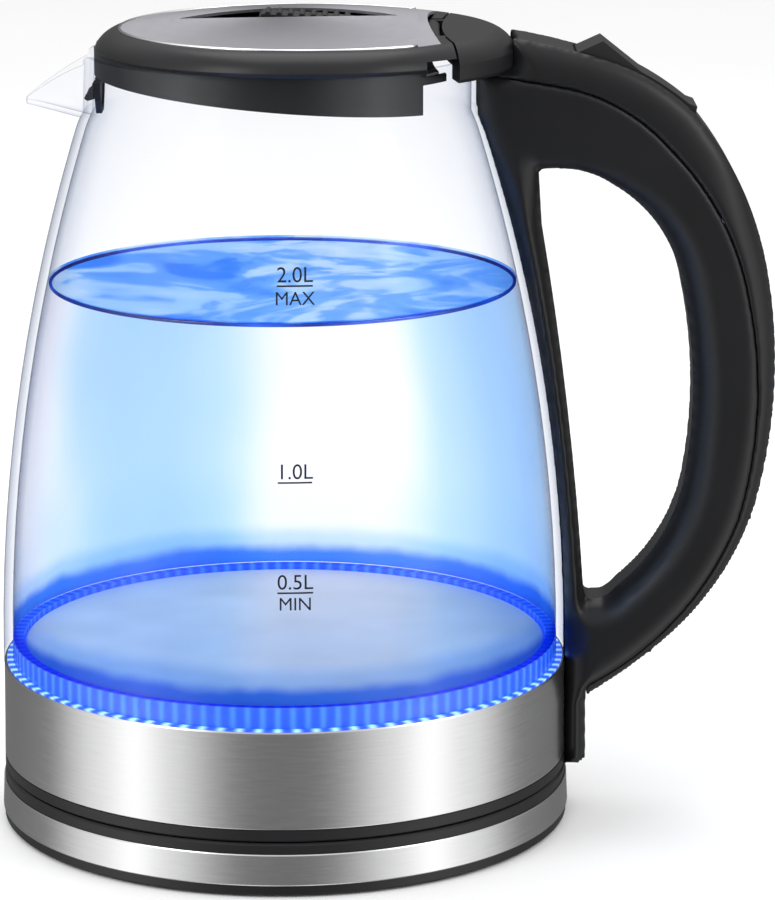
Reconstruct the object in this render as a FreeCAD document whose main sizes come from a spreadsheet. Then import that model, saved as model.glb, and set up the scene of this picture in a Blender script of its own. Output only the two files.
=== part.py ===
"""Cordless glass kettle with a 360-degree power base, built as a parametric document.

Millimetres, +Z up. The origin is the centre of the rest plane on the jug's axis, +X points
to the handle and the spout points along -X. Every size is a cell of the sheet "Dimensions",
and every sketch and placement is bound to those cells.
"""
import FreeCAD, Part
import math
import os
import Sketcher

V = FreeCAD.Vector

# ---------------------------------------------------------------- driving dimensions
SIZES = {
    "Power base": [
        ("base_radius", 80.2, "outside of the base's steel band at its foot"),
        ("foot_gap", 0.5, "plastic base cover above the rest plane"),
        ("foot_inner", 64.0, "inner radius of the rubber foot ring"),
        ("foot_width", 6.0, "radial width of the rubber foot ring"),
        ("foot_sink", 0.9, "depth of the foot ring's groove"),
        ("band_wall", 0.7, "sheet of the base's steel band"),
        ("band_bottom", 3.4, "lower edge of the steel band"),
        ("band_top", 12.0, "upper edge of the steel band"),
        ("band_taper", 0.35, "how much the band narrows towards its top"),
        ("base_floor", 2.4, "floor of the lower base cover"),
        ("base_wall", 2.0, "upright walls of the base covers"),
        ("base_top", 15.0, "top of the base's raised edge"),
        ("deck_thick", 1.9, "plate of the upper base cover"),
        ("deck_drop", 0.7, "deck below the raised edge"),
        ("base_screw_circle", 55.0, "radius of the base screws' circle"),
        ("screw_radius", 1.4, "thread radius of the small screws"),
        ("screw_head", 2.7, "head radius of the small screws"),
        ("screw_head_thick", 1.3, "head thickness of the small screws"),
        ("boss_radius", 3.4, "screw bosses of the base"),
        ("cord_radius", 3.2, "bore of the cord gland"),
        ("gland_half", 4.4, "half width of the cord gland"),
        ("gland_reach", 2.2, "cord gland beyond the band"),
    ],
    "360-degree connector": [
        ("tower_radius", 11.8, "plastic tower of the base connector"),
        ("tower_top", 31.0, "top of the connector tower"),
        ("tower_bore", 3.4, "centre bore of the tower"),
        ("slot_inner", 6.2, "inner radius of the tower's ring slot"),
        ("slot_outer", 8.4, "outer radius of the tower's ring slot"),
        ("slot_floor", 19.5, "floor of the tower's bore and slot"),
        ("contact_wall", 0.7, "wall of the ring contacts"),
        ("pin_radius", 1.6, "centre contact pin"),
        ("contact_gap", 0.4, "gap between mating connector pieces"),
        ("socket_wall", 2.0, "wall of the jug's socket cup"),
        ("socket_lip", 2.2, "flange that holds the socket cup in the jug"),
        ("socket_foot", 15.7, "lower edge of the socket cup"),
    ],
    "Jug foot": [
        ("gap", 0.3, "clearance between pieces of different bodies"),
        ("seat", 0.05, "clearance between pieces that are fitted together"),
        ("jug_foot", 15.4, "lowest edge of the jug"),
        ("lip_top", 18.6, "top of the jug's black lip"),
        ("lip_radius", 79.4, "outside of the jug's black lip"),
        ("cover_thick", 2.0, "plate of the jug's lower cover"),
        ("skirt_wall", 0.7, "sheet of the jug's steel skirt"),
        ("skirt_top", 45.7, "upper edge of the steel skirt"),
        ("skirt_taper", 0.3, "how much the skirt narrows towards its top"),
        ("plate_top", 50.2, "heating plate's wetted face"),
        ("plate_thick", 1.2, "sheet of the heating plate"),
        ("plate_skirt", 9.0, "depth of the heating plate's turned edge"),
        ("gasket_width", 3.0, "radial width of the plate's gasket"),
        ("gasket_height", 5.6, "height of the plate's gasket"),
        ("spreader_radius", 60.0, "aluminium heat spreader"),
        ("spreader_thick", 2.4, "aluminium heat spreader"),
        ("element_circle", 46.0, "radius of the tubular element's ring"),
        ("element_radius", 3.3, "tube of the heating element"),
        ("element_turn", 310.0, "degrees of ring that the element fills"),
        ("terminal_radius", 2.0, "cold pin of the element"),
        ("terminal_length", 8.0, "cold pin of the element"),
        ("controller_length", 42.0, "dry-boil controller along X"),
        ("controller_width", 34.0, "dry-boil controller along Y"),
        ("controller_height", 5.0, "dry-boil controller"),
        ("bimetal_radius", 11.0, "snap disc on the controller"),
        ("bimetal_thick", 0.5, "snap disc on the controller"),
        ("bimetal_crown", 0.9, "rise of the snap disc"),
        ("guide_width", 3.8, "radial width of the clear light guide"),
        ("guide_height", 5.6, "height of the clear light guide"),
        ("board_thick", 1.4, "ring-shaped lamp board"),
        ("board_width", 11.0, "ring-shaped lamp board"),
        ("led_count", 16, "lamps on the board"),
        ("led_size", 3.0, "side of a lamp"),
        ("led_height", 1.8, "height of a lamp"),
    ],
    "Glass": [
        ("glass_foot", 79.3, "outer radius of the glass at its foot"),
        ("glass_wall", 2.6, "wall of the glass"),
        ("glass_bottom", 46.0, "lower edge of the glass"),
        ("belly_radius", 500.0, "radius of the glass's bowed side"),
        ("shoulder_height", 195.6, "where the side meets the neck"),
        ("neck_radius", 54.6, "outer radius of the neck"),
        ("neck_start", 200.0, "where the neck becomes a straight tube"),
        ("rim_height", 216.0, "top of the glass"),
        ("spout_root", 8.6, "start of the spout inside the neck's outer radius"),
        ("spout_reach", 15.3, "tip of the spout beyond the neck"),
        ("spout_drop", 12.4, "tip of the spout below the rim"),
        ("spout_half_root", 16.5, "half width of the spout at its root"),
        ("spout_half_tip", 2.6, "half width of the spout at its tip"),
        ("spout_floor_root", 195.5, "underside of the spout at its root"),
        ("spout_floor_tip", 201.7, "underside of the spout at its tip"),
        ("spout_wall", 1.5, "wall of the spout"),
    ],
    "Lid": [
        ("lid_offset", 6.5, "lid's centre from the jug's axis"),
        ("lid_radius", 57.6, "widest radius of the lid's rim"),
        ("lid_bottom", 216.3, "underside of the lid's rim"),
        ("trim_radius", 51.0, "edge of the steel disc"),
        ("trim_height", 222.7, "edge of the steel disc"),
        ("disc_crown", 4.2, "rise of the steel disc at its centre"),
        ("disc_thick", 0.8, "sheet of the steel disc"),
        ("web_thick", 1.6, "plastic web under the steel disc"),
        ("strip_width", 4.0, "rim between the disc's rear edge and the nose"),
        ("nose_front", 43.9, "front of the handle's nose behind the lid"),
        ("nose_radius", 190.0, "curve of the nose seen from above"),
        ("hinge_x", 42.0, "lid hinge from the jug's axis"),
        ("hinge_height", 220.7, "lid hinge above the rest plane"),
        ("hinge_pin_radius", 0.9, "lid hinge pin"),
        ("hinge_bore_gap", 0.05, "running clearance of the hinge pin"),
        ("barrel_radius", 1.7, "lid's hinge barrel"),
        ("barrel_half", 16.0, "half length of the lid's hinge barrel"),
        ("ear_width", 3.0, "hinge ears of the housing"),
        ("rear_relief", 219.2, "underside of the lid's rear strip"),
        ("nose_gap", 0.7, "gap between the lid's rear edge and the nose"),
        ("cup_gap", 0.8, "gap between the lid's inner skirt and the neck"),
        ("cup_wall", 1.8, "wall of the lid's inner skirt"),
        ("window_half", 5.0, "half width of the skirt's window for the latch bolt"),
        ("cup_low", 203.2, "lower edge of the skirt near the handle"),
        ("cup_high", 209.6, "lower edge of the skirt near the spout"),
        ("cup_run", 40.0, "how far from the axis those two heights are"),
        ("cup_step", 38.5, "skirt is cut short beyond this far from the axis"),
        ("cup_step_height", 211.3, "lower edge of the cut-short skirt"),
        ("under_plate", 1.4, "plate that closes the lid from below"),
        ("under_height", 212.4, "underside of that plate"),
        ("lens_length", 60.0, "grip recess from tip to tip"),
        ("lens_centre", 1.9, "grip recess's centre along X"),
        ("lens_half", 10.0, "half width of the grip recess"),
        ("lens_depth", 6.0, "depth of the grip recess below the trim"),
        ("lens_wall", 1.2, "wall of the grip recess"),
        ("tab_start", -6.0, "front of the ribbed tab"),
        ("tab_end", 22.0, "rear of the ribbed tab"),
        ("tab_half", 6.0, "half width of the ribbed tab"),
        ("tab_top", 227.6, "top of the ribbed tab"),
        ("tab_slope", 1.6, "fall of the tab towards its rear"),
        ("rib_count", 8, "ribs on the tab"),
        ("rib_pitch", 3.1, "ribs on the tab"),
        ("rib_radius", 0.8, "ribs on the tab"),
        ("latch_travel", 3.0, "travel of the tab"),
        ("bolt_thick", 2.0, "latch bolt"),
        ("bolt_half", 4.0, "half width of the latch bolt"),
        ("bolt_end", 12.0, "rear end of the latch bolt"),
        ("post_front", 26.0, "front of the post that the spring pushes on"),
        ("spring_radius", 1.3, "latch spring"),
        ("spring_turns", 7, "latch spring"),
        ("spring_wire", 0.35, "radius of the spring's wire"),
    ],
    "Handle": [
        ("handle_reach", 136.4, "rearmost point of the handle"),
        ("grip_half", 13.5, "half width of the handle"),
        ("strut_foot", 14.2, "lower end of the strut"),
        ("strut_outer_foot", 85.0, "outer edge of the strut at its foot"),
        ("housing_bottom", 212.6, "lower edge of the hinge housing"),
        ("housing_top", 222.6, "top of the hinge housing"),
        ("handle_wall", 2.6, "walls round the switch cavity"),
        ("pivot_inset", 39.4, "rocker's pivot in front of the rearmost point"),
        ("pivot_height", 204.6, "rocker's pivot above the rest plane"),
        ("rocker_front", 20.4, "front face of the rocker from its pivot"),
        ("rocker_rear", 16.6, "rear face of the rocker from its pivot"),
        ("rocker_half", 8.6, "half width of the rocker"),
        ("rocker_pin_radius", 1.5, "rocker's pin"),
        ("rocker_bore_gap", 0.05, "running clearance of the rocker's pin"),
        ("switch_length", 20.0, "steam switch"),
        ("switch_half", 7.5, "half width of the steam switch"),
        ("switch_height", 9.0, "steam switch"),
        ("handle_screw_radius", 1.8, "screws of the handle"),
    ],
    "Spout filter": [
        ("filter_x", 50.7, "outer face of the filter's frame from the axis"),
        ("filter_thick", 1.6, "filter's frame"),
        ("filter_rim", 1.5, "width of the filter's frame"),
        ("filter_top", 208.6, "top of the filter's frame"),
        ("mesh_thick", 0.4, "filter's mesh"),
    ],
}

doc = FreeCAD.newDocument("kettle")
sheet = doc.addObject("Spreadsheet::Sheet", "Dimensions")


class Size:
    """A number and the spreadsheet expression that it comes from."""

    def __init__(self, value, text):
        self.value = float(value)
        self.text = text

    @staticmethod
    def of(item):
        if isinstance(item, Size):
            return item
        return Size(item, "(%.6g)" % item)

    def __add__(self, other):
        other = Size.of(other)
        return Size(self.value + other.value, "(%s + %s)" % (self.text, other.text))

    def __sub__(self, other):
        other = Size.of(other)
        return Size(self.value - other.value, "(%s - %s)" % (self.text, other.text))

    def __mul__(self, other):
        other = Size.of(other)
        return Size(self.value * other.value, "(%s * %s)" % (self.text, other.text))

    def __truediv__(self, other):
        other = Size.of(other)
        return Size(self.value / other.value, "(%s / %s)" % (self.text, other.text))

    def __radd__(self, other):
        return Size.of(other) + self

    def __rsub__(self, other):
        return Size.of(other) - self

    def __rmul__(self, other):
        return Size.of(other) * self

    def __neg__(self):
        return Size(-self.value, "(0 - %s)" % self.text)

    def root(self):
        return Size(math.sqrt(self.value), "sqrt(%s)" % self.text)


class Sizes:
    """Each alias of the sheet as a Size."""


def fill_sheet():
    sizes = Sizes()
    row = 1
    for group, entries in SIZES.items():
        sheet.set("A%d" % row, group)
        row += 1
        for alias, value, note in entries:
            sheet.set("A%d" % row, note)
            sheet.set("B%d" % row, "%g" % value)
            sheet.setAlias("B%d" % row, alias)
            setattr(sizes, alias, Size(value, "<<Dimensions>>." + alias))
            row += 1
    doc.recompute()
    return sizes


d = fill_sheet()


# ---------------------------------------------------------------- building blocks
def bind(item, name, size):
    """Sets a property from a Size and keeps it bound to the sheet."""
    item.setExpression(name, Size.of(size).text)


def new_body(label, pieces=1):
    body = doc.addObject("PartDesign::Body", label)
    body.Label = label
    body.AllowCompound = pieces > 1
    return body


def plane_of(body, role):
    return [item for item in body.Origin.OriginFeatures if item.Role == role][0]


def new_sketch(body, name, role, lift=0, shift=0, rise=0):
    """A sketch on an origin plane, lifted along its normal and shifted along its two axes."""
    sketch = body.newObject("Sketcher::SketchObject", body.Label + "_" + name)
    sketch.AttachmentSupport = [(plane_of(body, role), "")]
    sketch.MapMode = "FlatFace"
    bind(sketch, "AttachmentOffset.Base.z", lift)
    bind(sketch, "AttachmentOffset.Base.x", shift)
    bind(sketch, "AttachmentOffset.Base.y", rise)
    return sketch


def pin_point(sketch, index, end, x, y):
    """Holds one point of the sketch at two Sizes measured from the sketch's origin."""
    for kind, size in (("DistanceX", Size.of(x)), ("DistanceY", Size.of(y))):
        number = sketch.addConstraint(Sketcher.Constraint(kind, -1, 1, index, end, size.value))
        sketch.setExpression("Constraints[%d]" % number, size.text)


def arc_centre(start, end, radius, side):
    """Centre of the arc from start to end; side +1 bulges to the left of that direction."""
    chord = end - start
    middle = (start + end) * 0.5
    rise = math.sqrt(max(radius ** 2 - chord.Length ** 2 / 4, 0))
    left = V(-chord.y, chord.x, 0).normalize()
    return middle - left * (rise * side)


def outline(sketch, points):
    """A closed outline. Each point is (x, y), and (x, y, radius) is reached from the last one
    by an arc: a positive radius bulges to the left of the way there, a negative one to the right."""
    first = sketch.GeometryCount
    corners = [V(Size.of(p[0]).value, Size.of(p[1]).value, 0) for p in points]
    ends = []
    for number, point in enumerate(points):
        start = corners[number - 1]
        end = corners[number]
        if len(point) == 2:
            sketch.addGeometry(Part.LineSegment(start, end))
            ends.append((1, 2))
            continue
        bulge = Size.of(point[2])
        side = 1 if bulge.value > 0 else -1
        radius = abs(bulge.value)
        centre = arc_centre(start, end, radius, side)
        a = math.atan2(start.y - centre.y, start.x - centre.x)
        b = math.atan2(end.y - centre.y, end.x - centre.x)
        if side > 0:
            a, b = b, a
            ends.append((2, 1))
        else:
            ends.append((1, 2))
        circle = Part.Circle(centre, V(0, 0, 1), radius)
        sketch.addGeometry(Part.ArcOfCircle(circle, a, b))
    for number, point in enumerate(points):
        index = first + number
        follower = first + (number + 1) % len(points)
        leave = ends[(number + 1) % len(points)][0]
        join = Sketcher.Constraint("Coincident", index, ends[number][1], follower, leave)
        sketch.addConstraint(join)
        pin_point(sketch, index, ends[number][1], point[0], point[1])
        if len(point) == 3:
            bulge = Size.of(point[2])
            radius = bulge if bulge.value > 0 else -bulge
            item = Sketcher.Constraint("Radius", index, radius.value)
            sketch.setExpression("Constraints[%d]" % sketch.addConstraint(item), radius.text)


def circle(sketch, x, y, radius):
    x, y, radius = Size.of(x), Size.of(y), Size.of(radius)
    index = sketch.addGeometry(Part.Circle(V(x.value, y.value, 0), V(0, 0, 1), radius.value))
    pin_point(sketch, index, 3, x, y)
    number = sketch.addConstraint(Sketcher.Constraint("Radius", index, radius.value))
    sketch.setExpression("Constraints[%d]" % number, radius.text)


def box_points(x0, x1, y0, y1):
    return [(x0, y0), (x1, y0), (x1, y1), (x0, y1)]


def feature(body, kind, sketch, name):
    item = body.newObject("PartDesign::" + kind, body.Label + "_" + name)
    item.Profile = sketch
    return item


def turned(label, outlines, shift=0, pieces=1):
    """A body turned about Z from closed (radius, height) outlines; shift moves its axis in X."""
    body = new_body(label, pieces)
    sketch = new_sketch(body, "profile", "XZ_Plane", shift=shift)
    for points in outlines:
        outline(sketch, points)
    item = feature(body, "Revolution", sketch, "turn")
    item.ReferenceAxis = (sketch, ["V_Axis"])
    item.Angle = 360
    return body


def cut_turn(body, name, points, shift=0):
    """Cuts a turned outline out of a body."""
    sketch = new_sketch(body, name, "XZ_Plane", shift=shift)
    outline(sketch, points)
    item = feature(body, "Groove", sketch, name + "_groove")
    item.ReferenceAxis = (sketch, ["V_Axis"])
    item.Angle = 360
    return item


def raise_from(body, name, low, high, draw):
    """Pads what draw(sketch) draws between two heights."""
    sketch = new_sketch(body, name, "XY_Plane", lift=low)
    draw(sketch)
    item = feature(body, "Pad", sketch, name + "_pad")
    bind(item, "Length", Size.of(high) - low)
    return item


def cut_from(body, name, low, high, draw):
    """Pockets what draw(sketch) draws between two heights."""
    sketch = new_sketch(body, name, "XY_Plane", lift=low)
    draw(sketch)
    item = feature(body, "Pocket", sketch, name + "_pocket")
    item.Reversed = True
    bind(item, "Length", Size.of(high) - low)
    return item


def side_pad(body, name, half, draw):
    """Pads what draw(sketch) draws in the XZ plane to both sides."""
    sketch = new_sketch(body, name, "XZ_Plane")
    draw(sketch)
    item = feature(body, "Pad", sketch, name + "_pad")
    item.Midplane = True
    bind(item, "Length", 2 * Size.of(half))
    return item


def side_cut(body, name, half, draw):
    """Pockets what draw(sketch) draws in the XZ plane to both sides."""
    sketch = new_sketch(body, name, "XZ_Plane")
    draw(sketch)
    item = feature(body, "Pocket", sketch, name + "_pocket")
    item.Midplane = True
    bind(item, "Length", 2 * Size.of(half))
    return item


def polar(body, name, item, count):
    """Repeats a feature about Z."""
    pattern = body.newObject("PartDesign::PolarPattern", body.Label + "_" + name)
    pattern.Originals = [item]
    pattern.Axis = (item.Profile[0], ["N_Axis"])
    pattern.Angle = 360
    bind(pattern, "Occurrences", count)
    body.Tip = pattern
    return pattern


def from_wall(inner, outer, low, high):
    """A ring's outline."""
    return box_points(inner, outer, low, high)


# ---------------------------------------------------------------- derived sizes
band_inner = d.base_radius - d.band_wall
cover_radius = band_inner - d.seat
deck_low = d.base_top - d.deck_drop - d.deck_thick
base_floor_top = d.foot_gap + d.base_floor
ring_radius = d.tower_radius + d.contact_wall
socket_radius = ring_radius + d.contact_gap
socket_outer = socket_radius + d.socket_wall
socket_ceiling = d.tower_top + d.contact_gap
socket_top = socket_ceiling + d.socket_wall
hole_in_jug = socket_outer + d.gap
tube_top = socket_top - d.socket_wall - d.gap
jug_plate_low = d.lip_top - d.cover_thick
skirt_inner = d.lip_radius - d.skirt_wall
glass_inner = d.glass_foot - d.glass_wall
plate_radius = glass_inner - d.gasket_width - 2 * d.seat
plate_low = d.plate_top - d.plate_thick
spreader_low = plate_low - d.seat - d.spreader_thick
element_height = spreader_low - d.seat - d.element_radius
guide_outer = skirt_inner - d.skirt_taper - d.seat
guide_low = d.glass_bottom - d.seat - d.guide_height
board_top = guide_low - d.led_height - d.gap
belly_centre = d.glass_foot - d.belly_radius
neck_inner = d.neck_radius - d.glass_wall
cup_radius = neck_inner - d.cup_gap
shoulder_rise = d.shoulder_height - d.glass_bottom
shoulder_radius = belly_centre + (d.belly_radius * d.belly_radius - shoulder_rise * shoulder_rise).root()
spout_start = d.neck_radius - d.spout_root
spout_length = d.spout_root + d.spout_reach
nose_centre = d.nose_front + d.nose_radius
strut_gap = d.gap + d.glass_foot


def nose(sketch, grow, behind):
    """The side behind or in front of the nose's curved front; grow moves the front forward."""
    radius = d.nose_radius + grow
    half = Size.of(70)
    back = nose_centre - (radius * radius - half * half).root()
    far = Size.of(110 if behind else -110)
    outline(sketch, [(far, -half), (far, half), (back, half), (back, -half, -radius)])


# ---------------------------------------------------------------- power base
def base_lower_cover():
    groove_top = d.foot_gap + d.foot_sink
    foot_outer = d.foot_inner + d.foot_width
    wall_inner = cover_radius - d.base_wall
    body = turned("base_lower_cover", [[
        (0, d.foot_gap), (d.foot_inner - d.seat, d.foot_gap), (d.foot_inner - d.seat, groove_top),
        (foot_outer + d.seat, groove_top), (foot_outer + d.seat, d.foot_gap),
        (d.base_radius - 1, d.foot_gap), (d.base_radius - 0.4, d.foot_gap + 0.6),
        (d.base_radius - 0.4, d.band_bottom - d.seat), (cover_radius, d.band_bottom - d.seat),
        (cover_radius, d.band_top - d.seat), (wall_inner, d.band_top - d.seat),
        (wall_inner, base_floor_top), (0, base_floor_top),
    ]])
    head_top = d.foot_gap + d.screw_head_thick
    doc.recompute()
    for name, low, high, radius in (
            ("screw_hole", head_top, base_floor_top, d.screw_radius + d.seat),
            ("screw_recess", d.foot_gap, head_top, d.screw_head + d.seat)):
        hole = cut_from(body, name, low, high, lambda s: circle(s, d.base_screw_circle, 0, radius))
        doc.recompute()
        polar(body, name + "s", hole, 3)
        doc.recompute()
    low = d.band_bottom
    half = d.gland_half + d.seat
    cut_from(body, "gland_notch", low, d.band_top, lambda s: outline(
        s, box_points(-half, half, wall_inner - 2, d.base_radius)))
    return body


def base_foot_ring():
    return turned("base_foot_ring", [[
        (d.foot_inner, 0), (d.foot_inner + d.foot_width, 0),
        (d.foot_inner + d.foot_width, d.foot_gap + d.foot_sink - d.seat),
        (d.foot_inner, d.foot_gap + d.foot_sink - d.seat)]])


def base_steel_band():
    body = turned("base_steel_band", [[
        (band_inner, d.band_bottom), (d.base_radius - 0.2, d.band_bottom),
        (d.base_radius, d.band_bottom + 0.3), (d.base_radius - d.band_taper, d.band_top - 0.3),
        (d.base_radius - d.band_taper - 0.2, d.band_top), (band_inner, d.band_top)]])
    half = d.gland_half + d.seat
    cut_from(body, "gland_notch", d.band_bottom, d.band_top - 0.8, lambda s: outline(
        s, box_points(-half, half, band_inner - 4, d.base_radius + 1)))
    return body


def base_upper_cover():
    spigot = cover_radius - d.base_wall - d.seat
    seat = d.band_top + d.seat
    deck_top = deck_low + d.deck_thick
    edge = d.lip_radius
    hole = ring_radius + d.seat
    body = turned("base_upper_cover", [[
        (hole, deck_low), (spigot - d.base_wall, deck_low), (spigot - d.base_wall, seat - 3),
        (spigot, seat - 3), (spigot, seat), (edge, seat), (edge, d.base_top - 0.6),
        (edge - 0.6, d.base_top), (edge - 3, d.base_top), (edge - 3.7, deck_top), (hole, deck_top)]])
    doc.recompute()
    boss = raise_from(body, "boss", base_floor_top + d.seat, deck_low,
                      lambda s: circle(s, d.base_screw_circle, 0, d.boss_radius))
    doc.recompute()
    polar(body, "bosses", boss, 3)
    doc.recompute()
    pilot = cut_from(body, "pilot", base_floor_top, deck_low - 0.5,
                     lambda s: circle(s, d.base_screw_circle, 0, d.screw_radius + d.seat))
    doc.recompute()
    polar(body, "pilots", pilot, 3)
    half = d.gland_half + 2 + d.seat
    doc.recompute()
    cut_from(body, "gland_notch", base_floor_top, seat - 0.2, lambda s: outline(
        s, box_points(-half, half, spigot - 2 * d.base_wall, spigot + 0.2)))
    return body


def connector_tower():
    flange = deck_low - d.seat
    return turned("connector_tower", [[
        (0, flange - 3), (d.tower_radius + 4, flange - 3), (d.tower_radius + 4, flange),
        (d.tower_radius, flange), (d.tower_radius, d.tower_top - 1),
        (d.tower_radius - 1, d.tower_top), (d.slot_outer, d.tower_top),
        (d.slot_outer, d.slot_floor), (d.slot_inner, d.slot_floor), (d.slot_inner, d.tower_top),
        (d.tower_bore, d.tower_top), (d.tower_bore, d.slot_floor), (0, d.slot_floor)]])


def connector_contacts():
    inner = d.slot_inner + d.seat
    turned("contact_pin", [[
        (0, d.slot_floor), (d.pin_radius, d.slot_floor), (d.pin_radius, d.tower_top - 2.6),
        (d.pin_radius - 0.8, d.tower_top - 1.6), (0, d.tower_top - 1.6)]])
    turned("contact_inner_ring", [from_wall(
        inner, inner + d.contact_wall, d.slot_floor, d.tower_top - 0.6)])
    turned("contact_outer_ring", [from_wall(
        d.tower_radius, ring_radius, deck_low, d.tower_top - 4)])


def cord_gland():
    body = new_body("cord_gland")
    centre = (d.band_bottom + d.band_top) / 2
    wall_inner = cover_radius - d.base_wall
    face = d.base_radius + d.gland_reach
    for name, half, near, far in (
            ("neck", d.gland_half, wall_inner - 1, face),
            ("flange", d.gland_half + 2, wall_inner - 2, wall_inner - 0.4)):
        raise_from(body, name, d.band_bottom + d.seat, d.band_top - 0.8 - d.seat,
                   lambda s: outline(s, box_points(-half, half, near, far)))
    doc.recompute()
    sketch = new_sketch(body, "bore", "XZ_Plane")
    circle(sketch, 0, centre - 0.4, d.cord_radius)
    bore = feature(body, "Pocket", sketch, "bore_pocket")
    bore.Midplane = True
    bind(bore, "Length", 4 * d.base_radius)
    return body


def base_screws():
    body = new_body("base_screws", pieces=3)
    head_top = d.foot_gap + d.screw_head_thick
    head = raise_from(body, "head", d.foot_gap + 0.1, head_top - 0.02,
                      lambda s: circle(s, d.base_screw_circle, 0, d.screw_head))
    thread = raise_from(body, "thread", head_top - 0.02, deck_low - 1.5,
                        lambda s: circle(s, d.base_screw_circle, 0, d.screw_radius))
    doc.recompute()
    pattern = polar(body, "set", head, 3)
    pattern.Originals = [head, thread]
    return body


def base_leads():
    """Three insulated leads from the cord gland to the connector."""
    body = new_body("base_leads", pieces=3)
    sketch = new_sketch(body, "leads", "XZ_Plane", lift=-(cover_radius - d.base_wall - 2.2))
    height = (base_floor_top + deck_low) / 2
    lead = 1.1
    for side in (-1, 0, 1):
        circle(sketch, side * (2 * lead + 0.3), height - 0.8, lead)
    item = feature(body, "Pad", sketch, "leads_pad")
    bind(item, "Length", cover_radius - d.base_wall - 2.2 - d.tower_radius - 4.3)
    return body


# ---------------------------------------------------------------- connector socket
def connector_socket():
    turned("socket_cup", [[
        (socket_radius, d.socket_foot), (socket_outer, d.socket_foot), (socket_outer, socket_ceiling),
        (socket_outer + d.socket_lip, socket_ceiling), (socket_outer + d.socket_lip, socket_top),
        (0, socket_top), (0, socket_ceiling), (socket_radius, socket_ceiling)]])
    sleeve = d.pin_radius + d.contact_gap
    ring = d.slot_inner + d.seat + d.contact_wall + d.contact_gap
    depth = d.slot_floor + 2
    turned("socket_centre_sleeve", [from_wall(sleeve, sleeve + 0.9, depth, socket_ceiling)])
    turned("socket_ring_sleeve", [from_wall(ring, ring + 0.6, depth, socket_ceiling)])
    turned("socket_outer_sleeve", [from_wall(
        ring_radius + d.contact_gap / 2, socket_radius - d.seat / 2, d.tower_top - 12, d.tower_top - 6)])


# ---------------------------------------------------------------- jug foot and heater
def jug_lower_cover():
    edge = d.lip_radius
    spigot = skirt_inner - d.skirt_taper - d.seat
    return turned("jug_lower_cover", [[
        (hole_in_jug, jug_plate_low), (edge - 4, jug_plate_low), (edge - 3, d.jug_foot),
        (edge - 0.5, d.jug_foot), (edge, d.jug_foot + 0.5), (edge, d.lip_top), (spigot, d.lip_top),
        (spigot, d.lip_top + 5), (spigot - d.cover_thick, d.lip_top + 5),
        (spigot - d.cover_thick, d.lip_top), (hole_in_jug + d.cover_thick, d.lip_top),
        (hole_in_jug + d.cover_thick, tube_top), (hole_in_jug, tube_top)]])


def jug_steel_skirt():
    top = d.lip_radius - d.skirt_taper
    low = d.lip_top + d.seat
    return turned("jug_steel_skirt", [[
        (skirt_inner, low), (d.lip_radius - 0.2, low), (d.lip_radius, low + 0.4),
        (top, d.skirt_top - 0.4), (top - 0.2, d.skirt_top), (top - d.skirt_wall, d.skirt_top)]])


def heater():
    skirt_low = d.plate_top - d.plate_skirt
    turned("heating_plate", [[
        (0, plate_low), (plate_radius - d.plate_thick, plate_low),
        (plate_radius - d.plate_thick, skirt_low), (plate_radius, skirt_low),
        (plate_radius, d.plate_top - 0.8), (plate_radius - 0.8, d.plate_top), (0, d.plate_top)]])
    turned("plate_gasket", [from_wall(
        plate_radius + d.seat, glass_inner - d.seat, d.glass_bottom, d.glass_bottom + d.gasket_height)])
    turned("heat_spreader", [from_wall(0, d.spreader_radius, spreader_low, plate_low - d.seat)])
    element = doc.addObject("Part::Torus", "element_ring")
    bind(element, "Radius1", d.element_circle)
    bind(element, "Radius2", d.element_radius)
    bind(element, "Angle3", d.element_turn)
    element.Label = "heating_element"
    bind(element, "Placement.Base.z", element_height)
    bind(element, "Placement.Rotation.Angle", (360 - d.element_turn) / 2)
    element.setExpression("Placement.Rotation.Axis.z", "1")
    terminals = new_body("element_terminals", pieces=2)
    half_open = (360 - d.element_turn) / 2

    def ends(sketch):
        inset = math.degrees((d.element_radius.value + 1) / d.element_circle.value)
        for side in (-1, 1):
            angle = math.radians(side * (half_open.value + inset))
            circle(sketch, d.element_circle * math.cos(angle), d.element_circle * math.sin(angle),
                   d.terminal_radius)

    top = element_height - d.element_radius - d.seat
    raise_from(terminals, "pins", top - d.terminal_length, top, ends)


def rounded_box(body, name, low, high, half_x, half_y, corner):
    """A pad of a rectangle with round corners about the axis."""
    x, y = Size.of(half_x), Size.of(half_y)
    r = Size.of(corner)
    return raise_from(body, name, low, high, lambda s: outline(s, [
        (x, -y + r, -r), (x, y - r), (x - r, y, -r), (r - x, y),
        (-x, y - r, -r), (-x, r - y), (r - x, -y, -r), (x - r, -y)]))


def dry_boil_controller():
    """The controller that sits on the socket and switches off a dry kettle."""
    body = new_body("dry_boil_controller")
    low = socket_top + d.gap
    rounded_box(body, "block", low, low + d.controller_height,
                d.controller_length / 2, d.controller_width / 2, 5)
    crown_low = low + d.controller_height + d.seat
    top = crown_low + d.bimetal_crown
    bow = (d.bimetal_radius * d.bimetal_radius + d.bimetal_crown * d.bimetal_crown) \
        / (2 * d.bimetal_crown)
    turned("bimetal_disc", [[
        (d.bimetal_radius, crown_low, bow), (d.bimetal_radius, crown_low + d.bimetal_thick),
        (0, top + d.bimetal_thick, -bow), (0, top)]])


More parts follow.
